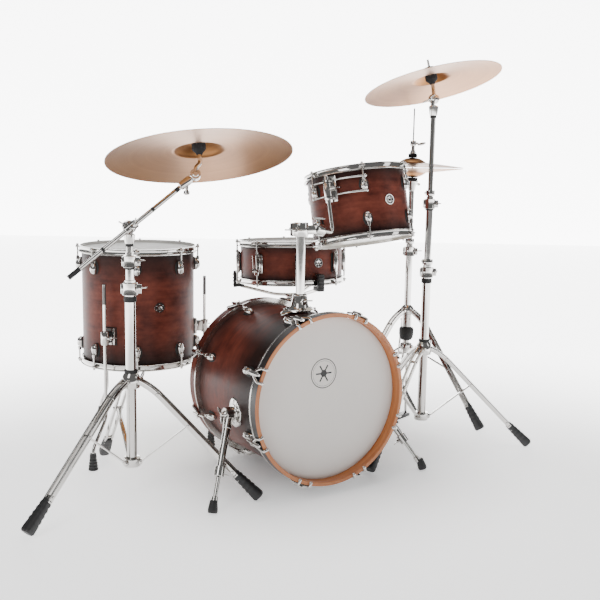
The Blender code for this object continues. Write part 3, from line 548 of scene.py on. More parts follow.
def claw(metal, rubber_pad, at, top, side):
    """A hook over a wooden hoop. Its frame: +X out of the drum, +Z out of the head."""
    def point(out, across, down):
        return at @ Vector((HOOP_OUTER + out, across, top - side * down))

    metal.rod(point(0.0080, 0, 0.040), point(0.0080, 0, 0.010), 0.0078, 0.0060, 20)
    metal.rod(point(0.0080, 0, 0.012), point(0.0080, 0, 0.000), 0.0042, 0.0036, 16)
    for across in (-0.019, 0.019):
        metal.bent([point(0.0060, across * 0.15, 0.033), point(0.0040, across * 0.70, 0.016),
                    point(0.0032, across, 0.004)], 0.0046, sides=14)
        metal.bent([point(0.0032, across, 0.005), point(0.0022, across, -0.0016),
                    point(-0.0040, across, -0.0030), point(-0.0075, across, -0.0026)], 0.0042,
                   sides=14)
        metal.ball((HOOP_OUTER - 0.0080, across, top + side * 0.0024), (0.0054, 0.0054, 0.0042),
                   at, 16, 10)
        rubber_pad.block((HOOP_OUTER + 0.0004, across * 0.8, top - side * 0.012),
                         (0.0010, 0.0085, 0.020), at, 0.0003)


def bass_drum():
    lean = math.atan2(FRONT_Z - REAR_Z, BASS_LENGTH)
    drum = KIT @ place((0.0, BASS_LENGTH / 2, (FRONT_Z + REAR_Z) / 2),
                       (math.pi / 2 - lean, 0.0, 0.0))
    body = drum @ place((0.0, 0.0, -BASS_DEPTH / 2))
    inner = BASS_RADIUS - 0.006
    make("bass_shell_look", "kit", walnut("bass_walnut", BASS_DEPTH, 0.120, (0.05, 1.05)),
         Shape().turned([(inner, BASS_DEPTH), (BASS_RADIUS, BASS_DEPTH), (BASS_RADIUS, 0.0),
                         (inner, 0.0)], sides=192, closed=True), body, ["bass_shell"])
    for word, z, up in (("front", BASS_DEPTH, 1), ("rear", 0.0, -1)):
        make("bass_%s_head_look" % word, "kit", SMOOTH,
             Shape().turned(edge_of(skin_profile(BASS_RADIUS, 0.0046, 0.0042), z, up), sides=192),
             body, ["bass_%s_head" % word])
    half = BASS_LENGTH / 2
    for word, top, side in (("front", half, 1), ("rear", -half, -1)):
        low = top - side * HOOP_WIDTH
        front = word == "front"
        finish = MAPLE if front else walnut("rear_hoop_walnut", 0.20, -0.19, (0.9, 1.9))
        make("bass_%s_hoop_look" % word, "kit", finish, Shape().turned(
            [(HOOP_INNER, top - side * 0.001), (HOOP_INNER + 0.001, top),
             (HOOP_OUTER - 0.001, top), (HOOP_OUTER, top - side * 0.001), (HOOP_OUTER, low),
             (HOOP_INNER, low)], sides=192, closed=True), drum, ["bass_%s_hoop" % word])
        if front:
            make("bass_front_hoop_band", "kit", BLACK, Shape().turned(
                [(HOOP_OUTER, top - 0.0022), (HOOP_OUTER + 0.0002, top - 0.0024),
                 (HOOP_OUTER + 0.0002, low + 0.0002), (HOOP_OUTER, low)], sides=192), drum)
        outside = HOOP_OUTER + 0.0006
        inlay = [(HOOP_OUTER, low + side * 0.0015), (outside, low + side * 0.0021),
                 (outside, low + side * 0.0071), (HOOP_OUTER, low + side * 0.0077)]
        if not front:
            inlay = [(BASS_RADIUS + 0.0006, low - side * 0.0008), (outside, low - side * 0.0008),
                     (outside, low + side * 0.0040), (HOOP_OUTER, low + side * 0.0046)]
        make("bass_%s_inlay" % word, "kit", INLAY, Shape().turned(inlay, sides=192), drum)
    metal, gasket = Shape(), Shape()
    for angle in spokes(8, 22.5):
        out = drum @ about_z(angle)
        for top, side in ((half, 1), (-half, -1)):
            claw(metal, gasket, out, top, side)
            start = side * (BASS_DEPTH / 2 - 0.058)
            teardrop(metal, gasket, out @ place((BASS_RADIUS, 0, start)), side, 0.044, 0.0125)
            metal.rod((HOOP_OUTER + 0.0060, 0, start + side * 0.020),
                      (HOOP_OUTER + 0.0085, 0, top - side * 0.036), 0.0030, sides=16, at=out)
    make("bass_lugs_and_claws", "kit", CHROME, metal)
    make("bass_gaskets", "kit", DARK, gasket)
    emblem(drum @ place((0.0, 0.0, BASS_DEPTH / 2 + 0.00145)))


def emblem(face):
    """A plain generic mark on the front head: a ring round a small star of bars."""
    ink = Shape()
    centre = face @ place((-0.010, 0.072, 0.0))
    ink.turned([(0.040, 0.0), (0.0425, 0.0)], centre, 72)
    ink.turned([(0.0355, 0.0), (0.0362, 0.0)], centre, 72)
    for k in range(3):
        turn = about_z(k * math.pi / 3)
        ink.add([(-0.026, -0.0022, 0), (0.026, -0.0022, 0), (0.026, 0.0022, 0),
                 (-0.026, 0.0022, 0)], [(0, 1, 2, 3)], centre @ turn)
    ink.turned([(0.0, 0.0), (0.010, 0.0)], centre @ place((0, 0, 0.00005)), 40)
    make("bass_head_mark", "kit", INK, ink)


# ---------------------------------------------------------------- tom mount and rack tom
MAST_Y = 0.186
BALL_AT = Vector((0.063, 0.187, 0.7335))
ARM_OUT = Vector((1.0, 0.10, -0.18)).normalized()
RACK_AT = Vector((0.280, 0.268, 0.683))
RACK_TURN = (math.radians(-12.1), math.radians(-2.1), 0.0)
ARM_SIDE, ARM_REACH = math.radians(207.0), 0.1835


def tom_mount():
    metal, dark = Shape(), Shape()
    base = KIT @ place((0, MAST_Y, 0.4985))
    metal.turned([(0.0135, 0.0), (0.040, 0.0), (0.043, 0.002), (0.043, 0.006),
                  (0.038, 0.0095), (0.0290, 0.0120), (0.0255, 0.0180), (0.0215, 0.040),
                  (0.0212, 0.0480), (0.0195, 0.0495), (0.0130, 0.0495)], base, 64)
    for side in (-1, 1):
        rings = [section((side * (0.020 + 0.042 * t), 0, 0.0045 - 0.012 * t * t),
                         Y_WAY, Z_WAY,
                         0.024 * math.sqrt(max(0.02, 1 - (t * 0.98) ** 2)), 0.0040, 2.4, 24)
                 for t in [k / 9 for k in range(10)]]
        metal.loft(rings, base)
        for y in (-0.014, 0.014):
            metal.rod((side * 0.042, y, -0.001), (side * 0.043, y, 0.0090), 0.0048, 0.0038, 16,
                      at=base)
    metal.block((0.0, -0.023, 0.034), (0.016, 0.012, 0.026), base, 0.002)
    wing(metal, base @ place((0, -0.028, 0.034), (math.pi / 2, 0, 0)), 0.016)
    dark.turned([(0.0130, 0.0496), (0.0200, 0.0497)], base, 48)
    make("tom_mount_look", "kit", CHROME, metal, None, ["tom_mount_plate"])
    make("tom_mount_bush", "kit", DARK, dark)
    make("tom_mast_look", "tom_mast", CHROME, Shape().turned(chamfered(0.0125, 0.304), sides=40),
         KIT @ place((0, MAST_Y, 0.453)), ["tom_mast"])

    metal, dark = Shape(), Shape()
    low, high = 0.7155, 0.757
    mast = KIT @ place((0, MAST_Y, 0.0))
    metal.turned([(0.0127, low), (0.0195, low), (0.0208, low + 0.002), (0.0208, high - 0.002),
                  (0.0195, high), (0.0127, high)], mast, 48, closed=True)
    metal.block((-0.022, 0.0, (low + high) / 2), (0.020, 0.022, high - low - 0.004), mast, 0.003)
    # Painted shade: a thin dark sheet in the clamp's split, where there is only shade.
    dark.block((-0.0235, 0.0, (low + high) / 2), (0.0190, 0.0016, high - low - 0.003), mast,
               0.0003)
    metal.rod((-0.026, -0.018, 0.7365), (-0.026, 0.016, 0.7365), 0.0062, at=mast)
    wing(metal, mast @ place((-0.028, -0.012, 0.7365), (math.pi / 2, 0, -0.9)), 0.022, 0.5)
    ball = KIT @ Matrix.Translation(BALL_AT)
    metal.bar(mast @ Vector((0.012, 0.0, 0.7345)), ball @ (ARM_OUT * -0.008), 0.026, 0.026, 0.003)
    metal.turned([(0.0, -0.0180), (0.0165, -0.0180), (0.0182, -0.0160), (0.0182, 0.0100),
                  (0.0168, 0.0125), (0.0112, 0.0125), (0.0106, 0.0080)],
                 ball @ along((0, 0, 0), ARM_OUT), 48)
    metal.rod((-0.004, 0, 0.012), (-0.004, 0, 0.030), 0.0052, at=ball)
    metal.turned([(0, 0), (0.0060, 0), (0.0075, 0.002), (0.0060, 0.0050), (0, 0.0055)],
                 ball @ place((-0.004, 0, 0.019)), 24)
    rings = [section((-0.004 + 0.040 * (t - 0.5), 0, 0.0325), Y_WAY,
                     Z_WAY, 0.0022 + 0.0048 * math.sin(math.pi * t) ** 0.6,
                     0.0014 + 0.0022 * math.sin(math.pi * t) ** 0.6, 2.0, 16)
             for t in [k / 12 for k in range(13)]]
    metal.loft(rings, ball @ place(turn=(0, 0, -0.5)))
    make("tom_clamp_look", "tom_clamp", CHROME, metal, None, ["tom_clamp"])
    make("tom_clamp_gap_shade", "tom_clamp", DARK, dark)


def rack_tom():
    drum = KIT @ place(RACK_AT, RACK_TURN)
    shell = drum @ place((0, 0, HOOP_RISE))
    metal_drum("rack", "rack_tom", shell, TWELVE_INCH, 0.203, spokes(6, 183.0), 0.052, 0.050)
    badge("rack_badge", "rack_tom",
          shell @ about_z(math.radians(272.0)) @ place((TWELVE_INCH, 0, 0.100)), 0.0165)

    side = drum @ about_z(ARM_SIDE)
    tilt = KIT @ Matrix.Translation(BALL_AT)
    points = [tilt @ Vector((0, 0, 0)), side @ Vector((ARM_REACH, 0, 0.030)),
              side @ Vector((ARM_REACH, 0, 0.198))]
    arm = Shape().bent(curved(points, 0.014), 0.0055, sides=24)
    arm.ball(points[0], (0.0100, 0.0100, 0.0100))
    arm.rod(points[2], side @ Vector((ARM_REACH, 0, 0.2005)), 0.0050, 0.0040)
    make("tom_arm_look", "tom_arm", CHROME, arm, None, ["tom_arm"])

    metal, dark = Shape(), Shape()
    low, high = 0.124, 0.190
    for z in (0.142, 0.186):
        arc = [drum @ ring_at(math.radians(a), TWELVE_INCH + 0.0110, z)
               for a in range(181, 246, 2)]
        metal.bent(arc, 0.0034, sides=14)
        for a in (181, 245):
            metal.ball(drum @ ring_at(math.radians(a), TWELVE_INCH + 0.0110, z),
                       (0.0058, 0.0058, 0.0058), None, 16, 10)
    face = TWELVE_INCH + 0.008
    metal.block((face + 0.0045, 0.0, (low + high) / 2 + 0.003),
                (0.0060, 0.042, high - low + 0.012), side, 0.0025)
    metal.block((ARM_REACH - 0.008, 0.0, (low + high) / 2), (0.018, 0.018, high - low - 0.012),
                side, 0.003)
    metal.turned([(0.0058, low + 0.004), (0.0105, low + 0.004), (0.0115, low + 0.008),
                  (0.0115, high - 0.008), (0.0105, high - 0.004), (0.0058, high - 0.004)],
                 side @ place((ARM_REACH, 0, 0)), 32, closed=True)
    metal.rod((ARM_REACH, 0.004, 0.160), (ARM_REACH, 0.024, 0.160), 0.0050, at=side)
    wing(metal, side @ place((ARM_REACH, 0.020, 0.160), (-math.pi / 2, 0, 0)), 0.018, 0.5)
    for z in (0.128, 0.190):
        for y in (-0.014, 0.014):
            metal.ball((face + 0.007, y, z), (0.0030, 0.0042, 0.0042), side, 16, 10)
    # Painted shade: thin dark bands round the sleeve, where shade falls into its seams.
    for z in (low + 0.012, high - 0.012):
        dark.turned([(0.0116, z - 0.0012), (0.0118, z), (0.0116, z + 0.0012)],
                    side @ place((ARM_REACH, 0, 0)), 32)
    make("rack_bracket_look", "rack_tom", CHROME, metal, None, ["rack_bracket"])
    make("rack_bracket_seam_shade", "rack_tom", DARK, dark)


# ---------------------------------------------------------------- spurs and pedal
def spur(word, side):
    top = KIT @ Vector((side * 0.2435, 0.155, 0.228))
    foot = KIT @ Vector((side * 0.356, 0.027, 0.010))
    way = (foot - top).normalized()
    length = (foot - top).length
    plate = Shape()
    face = KIT @ place((side * 0.2262, 0.152, 0.232), (0, side * math.pi / 2, 0))
    plate.turned([(1.0, -0.004), (1.0, 0.0012), (0.95, 0.0034), (0.80, 0.0046), (0.56, 0.0056),
                  (0.52, 0.0078), (0.30, 0.0094), (0.0, 0.0098)],
                 face @ Matrix.Diagonal((0.043, 0.036, 1.0, 1.0)), 64)
    for x, y in ((-0.031, 0.0), (0.031, 0.0), (0.0, -0.026), (0.0, 0.026)):
        plate.ball((x, y, 0.0046), (0.0044, 0.0044, 0.0026), face, 16, 10)
    make(word + "_spur_plate", "kit", CHROME, plate)

    leg = Shape()
    leg.rod(top - Vector((side * 0.013, 0, 0)), top + Vector((side * 0.014, 0, 0)), 0.0200)
    leg.rod(top + Vector((side * 0.012, 0, 0)), top + Vector((side * 0.019, 0, 0)), 0.0115, 0.0090)
    leg.rod(top, top + way * 0.045, 0.0145, 0.0115)
    leg.rod(top + way * 0.030, top + way * length * 0.60, 0.0105, 0.0100, 32)
    leg.pipe(top + way * length * 0.56, top + way * length * 0.66, 0.0142, 0.0062)
    collar = along(top + way * length * 0.61, foot)
    wing(leg, collar @ place(turn=(math.pi / 2, 0, 0)) @ place((0, 0, 0.012)), 0.017, 0.5)
    wing(leg, Matrix.Translation(top + Vector((side * 0.016, 0, 0)))
         @ place(turn=(0, side * math.pi / 2, 0)) @ about_z(0.5), 0.020, 0.4)
    make(word + "_spur_leg_look", word + "_spur_leg", CHROME, leg, None, [word + "_spur_leg"])

    rod, tip = Shape(), Shape()
    ground = foot + Vector((0, 0, -foot.z + 0.0004))
    rod.rod(foot - way * length * 0.60, foot - way * 0.004, 0.0060)
    rod.rod(foot - way * 0.040, foot - way * 0.022, 0.0090, 0.0100)
    tip.turned([(0, 0.0), (0.0115, 0.0), (0.0132, 0.003), (0.0136, 0.010), (0.0118, 0.022),
                (0.0100, 0.032), (0.0090, 0.034), (0, 0.034)],
               Matrix.Translation(ground + Vector((0, 0, 0.0042)))
               @ along((0, 0, 0), Vector((-way.x * 0.45, -way.y * 0.45, -way.z))), 32)
    make(word + "_spur_rod_look", word + "_spur_rod", CHROME, rod, None, [word + "_spur_rod"])
    make(word + "_spur_tip", word + "_spur_rod", RUBBER, tip)


def pedal():
    heel, toe = KIT @ Vector((0.0, 0.715, 0.018)), KIT @ Vector((0.0, 0.480, 0.088))
    axle = KIT @ Vector((0.0, 0.445, 0.130))
    base = Shape()
    base.block(KIT @ Vector((0, 0.575, 0.003)), (0.070, 0.340, 0.006))
    base.block(KIT @ Vector((0, 0.445, 0.007)), (0.104, 0.030, 0.014), None, 0.002)
    base.block(KIT @ Vector((0, 0.4275, 0.0065)), (0.050, 0.047, 0.013), None, 0.002)
    base.block(KIT @ Vector((0, 0.742, 0.011)), (0.066, 0.040, 0.022), None, 0.002)
    for side in (-1, 1):
        base.bar((side * 0.046, 0.447, 0.004), (side * 0.046, 0.445, 0.124), 0.012, 0.022, 0.002,
                 at=KIT)
        base.pipe((side * 0.040, 0.445, 0.130), (side * 0.052, 0.445, 0.130), 0.0100, 0.0060,
                  at=KIT)
    make("pedal_frame_look", "kit", CHROME, base, None, ["pedal_frame"])
    board, pad = Shape(), Shape()
    board.bar(heel, toe, 0.076, 0.006, 0.002)
    board.rod(heel + Vector((-0.030, 0, 0)), heel + Vector((0.030, 0, 0)), 0.0050)
    way = (toe - heel).normalized()
    rise = Vector((0, way.z, -way.y))
    for k in range(9):
        at = heel.lerp(toe, 0.18 + 0.085 * k) + rise * 0.0034
        pad.bar(at - way * 0.004, at + way * 0.004, 0.060, 0.0012, 0.0003)
    make("pedal_footboard_look", "pedal_footboard", CHROME, board, None, ["pedal_footboard"])
    make("pedal_footboard_grip", "pedal_footboard", RUBBER, pad)
    lean = math.radians(38.0)
    out = Vector((0.0, math.sin(lean), math.cos(lean)))
    across = Vector((0, out.z, -out.y))
    head = axle + out * 0.175
    steel, felt = Shape(), Shape()
    steel.rod(axle - Vector((0.058, 0, 0)), axle + Vector((0.058, 0, 0)), 0.0055)
    steel.rod(axle, head, 0.0040)
    steel.rod(axle - out * 0.004, axle + out * 0.020, 0.0095)
    felt.rod(head - across * 0.026, head + across * 0.022, 0.0235, 0.0240, 40)
    make("pedal_beater_rod", "pedal_beater", CHROME, steel, None, ["pedal_beater"])
    make("pedal_beater_felt", "pedal_beater", FELT, felt)


# ---------------------------------------------------------------- floor tom
FLOOR_AT = (-0.299, 0.702, 0.2915)
LEG_SIDES, LEG_KICKS, LEG_OUT = (220.6, 100.6, -19.4), (222.0, 88.0, -100.0), 0.082


def floor_tom():
    drum = KIT @ place(FLOOR_AT)
    metal_drum("floor", "kit", drum, FOURTEEN_INCH, 0.356, spokes(8, -67.5), 0.050, 0.048)
    badge("floor_badge", "kit",
          drum @ about_z(math.radians(-90.0)) @ place((FOURTEEN_INCH, 0, 0.186)), 0.0175)
    bracket, pad = Shape(), Shape()
    for number, (side, kick) in enumerate(zip(LEG_SIDES, LEG_KICKS), 1):
        side, kick = math.radians(side), math.radians(kick)
        foot_way = ring_at(kick, LEG_OUT, 0.0)
        at = KIT @ place((FLOOR_AT[0], FLOOR_AT[1], 0)) @ place(ring_at(side, 0.2135, 0.0))
        route = curved([Vector((0, 0, 0.553)), Vector((0, 0, 0.140)),
                        foot_way + Vector((0, 0, 0.064)), foot_way + Vector((0, 0, 0.030))], 0.020)
        leg = Shape().bent(route, 0.0050)
        body = "floor_leg_%d" % number
        make(body + "_look", body, CHROME, leg, at, [body])
        sleeve = Shape().rod((0, 0, 0.492), (0, 0, 0.5545), 0.0053, 0.0050)
        make(body + "_knurl", body, KNURL, sleeve, at)
        boot = Shape()
        rings = [(0.0135, 0.0), (0.0150, 0.002)]
        for k in range(4):
            z = 0.006 + 0.009 * k
            r = 0.0146 - 0.0011 * k
            rings += [(r, z), (r - 0.0016, z + 0.0020), (r - 0.0016, z + 0.0045),
                      (r - 0.0002, z + 0.0065)]
        boot.turned([(0, 0)] + rings + [(0.0090, 0.052), (0, 0.052)], place(foot_way), 32)
        make(body + "_boot", body, RUBBER, boot, at)
        out = drum @ about_z(side) @ place((FOURTEEN_INCH, 0, 0.098))
        bracket.block((0.005, 0, 0), (0.009, 0.036, 0.052), out, 0.0030)
        holder = pad if number == 1 else bracket
        holder.block((0.018, 0, 0), (0.026, 0.020, 0.036), out, 0.0040)
        bracket.turned([(0.0054, -0.021), (0.0105, -0.021), (0.0118, -0.018), (0.0118, 0.018),
                        (0.0105, 0.021), (0.0054, 0.021)], out @ place((0.0357, 0, 0)), 32,
                       closed=True)
        bracket.rod((0.0357, 0.008, 0), (0.0357, 0.020, 0), 0.0055, at=out)
        wing(bracket, out @ place((0.0357, 0.017, 0), (-math.pi / 2, 0, 0)), 0.019, 0.5)
        pad.block((0.0006, 0, 0), (0.0024, 0.040, 0.056), out, 0.001)
    make("floor_leg_brackets", "kit", CHROME, bracket)
    make("floor_leg_pads", "kit", DARK, pad)


# ---------------------------------------------------------------- stands
# Radii of the cymbal stands' tubes and the top of their lowest section.
LOWER_TUBE, MIDDLE_TUBE, UPPER_TUBE, LOWER_TOP = 0.0140, 0.0110, 0.0080, 0.606
CYMBAL_THICKNESS, CYMBAL_HOLE, FELT_DEPTH = 0.0012, 0.0065, 0.0042


def boot(shape, start, end):
    """A ribbed rubber shoe on the end of a tripod leg, its sole on the floor."""
    start, end = Vector(start), Vector(end)
    level = Vector((end.x - start.x, end.y - start.y, 0)).normalized()
    across = Vector((-level.y, level.x, 0))
    way = (end - start).normalized()
    up = way.cross(across) if way.cross(across).z > 0 else across.cross(way)
    rings = []
    steps = 22
    for k in range(steps + 1):
        t = k / steps
        rib = 0.0010 * math.cos(t * math.tau * 6.5) if 0.08 < t < 0.75 else 0.0
        wide = 0.0125 + 0.0050 * t - 0.0012 * max(0, t - 0.8) * 5 + rib
        tall = 0.0105 + 0.0055 * t + rib
        if k in (0, steps):
            wide, tall = wide * 0.82, tall * 0.80
        centre = start.lerp(end, t)
        ring = section(centre, across, up, wide, tall, 3.2, 28)
        rings.append([Vector((p.x, p.y, max(p.z, 0.0003))) for p in ring])
    shape.loft(rings)


def tripod(metal, dark, rubber_feet, radius, first, hub_z, knee, joint, bracket_z, tube):
    """Three legs of two rails each, with flat braces, rivets and rubber shoes."""
    for number in range(3):
        angle = first + number * math.tau / 3
        out = ring_at(angle, 1.0, 0.0)
        across = Vector((-out.y, out.x, 0))
        hub = ring_at(angle, tube + 0.006, hub_z)
        bend = ring_at(angle, *knee)
        foot = ring_at(angle, radius, 0.004)
        heel = bend.lerp(foot, 0.82)
        for side in (-1, 1):
            shift = across * side * 0.0088
            metal.bent([p + shift for p in curved([hub, bend, heel], 0.035, 8)],
                       flat=(0.0036, 0.0072), sides=20)
        for at in (bend.lerp(foot, joint), bend.lerp(foot, 0.74), bend.lerp(foot, 0.05)):
            metal.rod(at - across * 0.0150, at + across * 0.0150, 0.0042, sides=16)
        dark.rod(hub - across * 0.0050, hub + across * 0.0050, 0.0050, sides=16)
        metal.rod(hub - across * 0.0165, hub + across * 0.0165, 0.0048, sides=16)
        boot(rubber_feet, bend.lerp(foot, 0.755), ring_at(angle, radius - 0.004, 0.0125))
        low = ring_at(angle, tube + 0.010, bracket_z)
        middle = bend.lerp(foot, joint)
        metal.bar(low, middle, 0.0135, 0.0038, 0.001)
        metal.rod(low - across * 0.0095, low + across * 0.0095, 0.0044, sides=16)
        for z, at in ((hub_z, hub), (bracket_z, low)):
            metal.bar(ring_at(angle, tube - 0.002, z), at + out * 0.004, 0.0100, 0.0150, 0.002)


def stand_base(name, at, first, top, tube, bore, wing_side, radius=0.362, hub_z=0.329,
               bracket_z=0.098, knee=(0.060, 0.310), joint=0.33):
    stand = KIT @ place((*at, 0.0))
    metal, dark, feet = Shape(), Shape(), Shape()
    metal.pipe((0, 0, bracket_z - 0.010), (0, 0, top), tube, bore + GAP)
    metal.turned([(tube, hub_z - 0.022), (0.0235, hub_z - 0.020), (0.0245, hub_z - 0.016),
                  (0.0245, hub_z + 0.010), (0.0225, hub_z + 0.014), (tube + 0.003, hub_z + 0.022),
                  (tube, hub_z + 0.022)], None, 48)
    metal.turned([(tube, bracket_z - 0.013), (0.0225, bracket_z - 0.012),
                  (0.0235, bracket_z - 0.009), (0.0235, bracket_z + 0.009),
                  (0.0225, bracket_z + 0.012), (tube, bracket_z + 0.013)], None, 48)
    dark.turned([(tube + 0.0002, hub_z + 0.022), (tube + 0.0040, hub_z + 0.022),
                 (tube + 0.0040, hub_z + 0.030), (tube + 0.0002, hub_z + 0.030)], None, 40)
    tripod(metal, dark, feet, radius, first, hub_z, knee, joint, bracket_z, tube)
    clamp(metal, dark, top - 0.024, tube, wing_side)
    dark.turned([(tube + 0.0004, top - 0.060), (tube + 0.0030, top - 0.058),
                 (tube + 0.0030, top - 0.046), (tube + 0.0004, top - 0.044)], None, 40)
    turn = wing_side + 0.6
    hub_wing = about_z(turn) @ place((0.022, 0, hub_z), (0, math.pi / 2, 0))
    metal.rod((0, 0, -0.004), (0, 0, 0.008), 0.0056, at=hub_wing)
    wing(metal, hub_wing @ place((0, 0, 0.004)), 0.018, 0.5)
    make(name + "_base_look", "kit", CHROME, metal, stand, [name + "_base"])
    make(name + "_base_dark", "kit", DARK, dark, stand)
    make(name + "_feet", "kit", RUBBER, feet, stand)
    return stand


def memory_lock(name, body, at, tube, side):
    """A ring on top of a section, that the tube above it slides through."""
    metal, dark = Shape(), Shape()
    metal.turned([(tube + 0.0003, 0.0015), (tube + 0.0060, 0.0018), (tube + 0.0068, 0.004),
                  (tube + 0.0068, 0.017), (tube + 0.0058, 0.019), (tube + 0.0003, 0.019)],
                 None, 40, closed=True)
    turn = about_z(side + 2.2)
    metal.rod((tube + 0.003, 0, 0.010), (tube + 0.014, 0, 0.010), 0.0044, sides=16, at=turn)
    # Painted shade: a thin dark band round the lock's middle, for the shade in its split.
    dark.turned([(tube + 0.0069, 0.0095), (tube + 0.0071, 0.0105), (tube + 0.0069, 0.0115)],
                None, 40)
    make(name + "_lock", body, CHROME, metal, at)
    make(name + "_lock_gap_shade", body, DARK, dark, at)


def tube_section(below, above, tube, bore=None, side=0.0):
    metal, dark = Shape(), Shape()
    if bore:
        metal.pipe((0, 0, -below), (0, 0, above), tube, bore + GAP)
        clamp(metal, dark, above - 0.024, tube, side, 0.032, 0.016)
        dark.turned([(tube + 0.0003, above - 0.0455), (tube + 0.0024, above - 0.0450),
                     (tube + 0.0024, above - 0.0410), (tube + 0.0003, above - 0.0405)], None, 40)
    else:
        metal.rod((0, 0, -below), (0, 0, above), tube, sides=36)
    return metal, dark


def tube_pieces(name, body, metal, dark, at):
    make(name + "_look", body, CHROME, metal, at, [body])
    make(name + "_dark", body, DARK, dark, at)


def cymbal_profile(radius, height, up):
    """Bow and bell: the bell's shoulder, crown and the thin edge."""
    bell = radius * 0.27
    steps = [(CYMBAL_HOLE, height)]
    steps += [(CYMBAL_HOLE + (bell - CYMBAL_HOLE) * t,
               height * (1.0 - 0.53 * (t ** 2.1))) for t in [k / 12 for k in range(1, 13)]]
    steps += [(bell + (radius - bell) * t,
               height * 0.47 * (1 - t) * (1 + 0.20 * t)) for t in
              [k / 24 for k in range(1, 25)]]
    top = [(r, up * z) for r, z in steps]
    under = [(r, up * (z - CYMBAL_THICKNESS)) for r, z in reversed(steps)]
    return top + under


def cymbal(node, body, at, radius, height, up=1):
    """A cymbal whose object axes are turned from the world's only by its lean."""
    normal = at.to_3x3() @ Z_WAY
    at = Matrix.Translation(at.translation) @ Z_WAY.rotation_difference(
        normal).to_matrix().to_4x4()
    make(node + "_look", body, BRONZE,
         Shape().turned(cymbal_profile(radius, height, up), sides=192, closed=True), at,
         [node], sharp=50.0)


def tilter(node, body, at, x, y, seat_z, rod_top, upper=0.022):
    """The toothed half hinge, its hooked neck, the cup and felts, and the rod."""
    metal, felt = Shape(), Shape()
    metal.rod((GAP, 0, 0), (0.011, 0, 0), 0.0145, sides=40)
    metal.rod((0.011, 0, 0), (0.0135, 0, 0), 0.0085, 0.0070)
    for k in range(24):
        a = k * math.tau / 24
        metal.block((0.0018, 0.0138 * math.cos(a), 0.0138 * math.sin(a)),
                    (0.0030, 0.0022, 0.0022), None, 0.0005)
    metal.bent(curved([(0.0055, 0, 0.004), (0.0060, y * 0.25, 0.021), (x, y, 0.032),
                       (x, y, seat_z - 0.028)], 0.008), 0.0062)
    rod = place((x, y, 0.0))
    felt.turned([(0, seat_z - 0.036), (0.0080, seat_z - 0.036), (0.0105, seat_z - 0.030),
                 (0.0160, seat_z - 0.0250), (0.0170, seat_z - 0.022), (0, seat_z - 0.022)],
                rod, 40)
    metal.rod((x, y, seat_z - 0.03), (x, y, rod_top), 0.0042, 0.0036, 20)
    felt.turned([(0, seat_z - 0.0225), (0.0185, seat_z - 0.0225), (0.0193, seat_z - 0.020),
                 (0.0193, seat_z - 0.0015), (0.0180, seat_z), (0.0060, seat_z),
                 (0.0060, seat_z + 0.010), (0.0045, seat_z + 0.010)], rod, 40)
    above = seat_z + 0.0062
    felt.turned([(0.0066, above), (0.0170, above), (0.0180, above + 0.002),
                 (0.0180, above + upper - 0.002), (0.0166, above + upper),
                 (0.0045, above + upper)], rod, 40)
    make(node + "_look", body, CHROME, metal, at, [node])
    make(node + "_felt", body, FELT, felt, at)


def knuckle(metal, dark, pivot, turn, side, radius, drop):
    """The stand's half of a hinge, with its socket and a wing bolt through it."""
    across = about_z(turn) @ Vector((side, 0, 0))
    metal.rod(pivot + across * GAP, pivot + across * 0.011, radius, sides=40)
    metal.rod(pivot + across * 0.010, pivot + across * 0.0150, radius * 0.55, radius * 0.45)
    neck = pivot + across * 0.0056
    metal.rod(neck - Vector((0, 0, drop * 0.45)), neck, 0.0062)
    low = pivot - Vector((0, 0, drop))
    metal.turned([(0.0080, 0), (0.0118, 0.001), (0.0124, 0.004), (0.0150, drop * 0.42),
                  (0.0156, drop * 0.54), (0.0120, drop * 0.60), (0, drop * 0.61)],
                 Matrix.Translation(low), 40)
    bolt = Matrix.Translation(pivot + across * 0.013) @ along((0, 0, 0), across).to_3x3().to_4x4()
    wing(metal, bolt @ about_z(0.5), 0.022, 0.45)
    dark.turned([(0.0087, -0.0070), (0.0104, -0.0068), (0.0104, 0.0010), (0.0087, 0.0012)],
                Matrix.Translation(low), 32)


# ---------------------------------------------------------------- crash
CRASH_AT, CRASH_JOINT_Z, CRASH_PIVOT_Z = (0.515, 0.2365), 0.828, 1.134
CRASH_TURN, CRASH_LEAN = math.radians(17.6), math.radians(-16.0)
CRASH_NECK, CRASH_RISE, CRASH_RADIUS, CRASH_HEIGHT = 0.0095, 0.047, 0.2195, 0.042


def crash_stand():
    stand = stand_base("crash_stand", CRASH_AT, math.radians(205.7), LOWER_TOP, LOWER_TUBE,
                       MIDDLE_TUBE, math.radians(-20))
    metal, dark = tube_section(0.160, 0.222, MIDDLE_TUBE, UPPER_TUBE, math.radians(-30))
    at = stand @ place((0, 0, LOWER_TOP))
    memory_lock("crash_middle", "kit", at, MIDDLE_TUBE, math.radians(-30))
    tube_pieces("crash_middle", "crash_middle_tube", metal, dark, at)
    metal, dark = tube_section(0.120, 0.288, UPPER_TUBE)
    at = stand @ place((0, 0, CRASH_JOINT_Z))
    memory_lock("crash_top", "crash_middle_tube", at, UPPER_TUBE, math.radians(-30))
    pivot = Vector((0, 0, CRASH_PIVOT_Z - CRASH_JOINT_Z))
    knuckle(metal, dark, pivot, CRASH_TURN, -1, 0.0145, 0.052)
    tube_pieces("crash_top", "crash_top_tube", metal, dark, at)
    tilt = stand @ place((0, 0, CRASH_PIVOT_Z), (CRASH_LEAN, 0, CRASH_TURN))
    tilter("crash_tilter", "crash_tilter", tilt, CRASH_NECK, 0.0,
           CRASH_RISE + CRASH_HEIGHT - FELT_DEPTH, 0.129, 0.012)
    cymbal("crash_cymbal", "crash_cymbal", tilt @ place((CRASH_NECK, 0, CRASH_RISE)), CRASH_RADIUS,
           CRASH_HEIGHT)


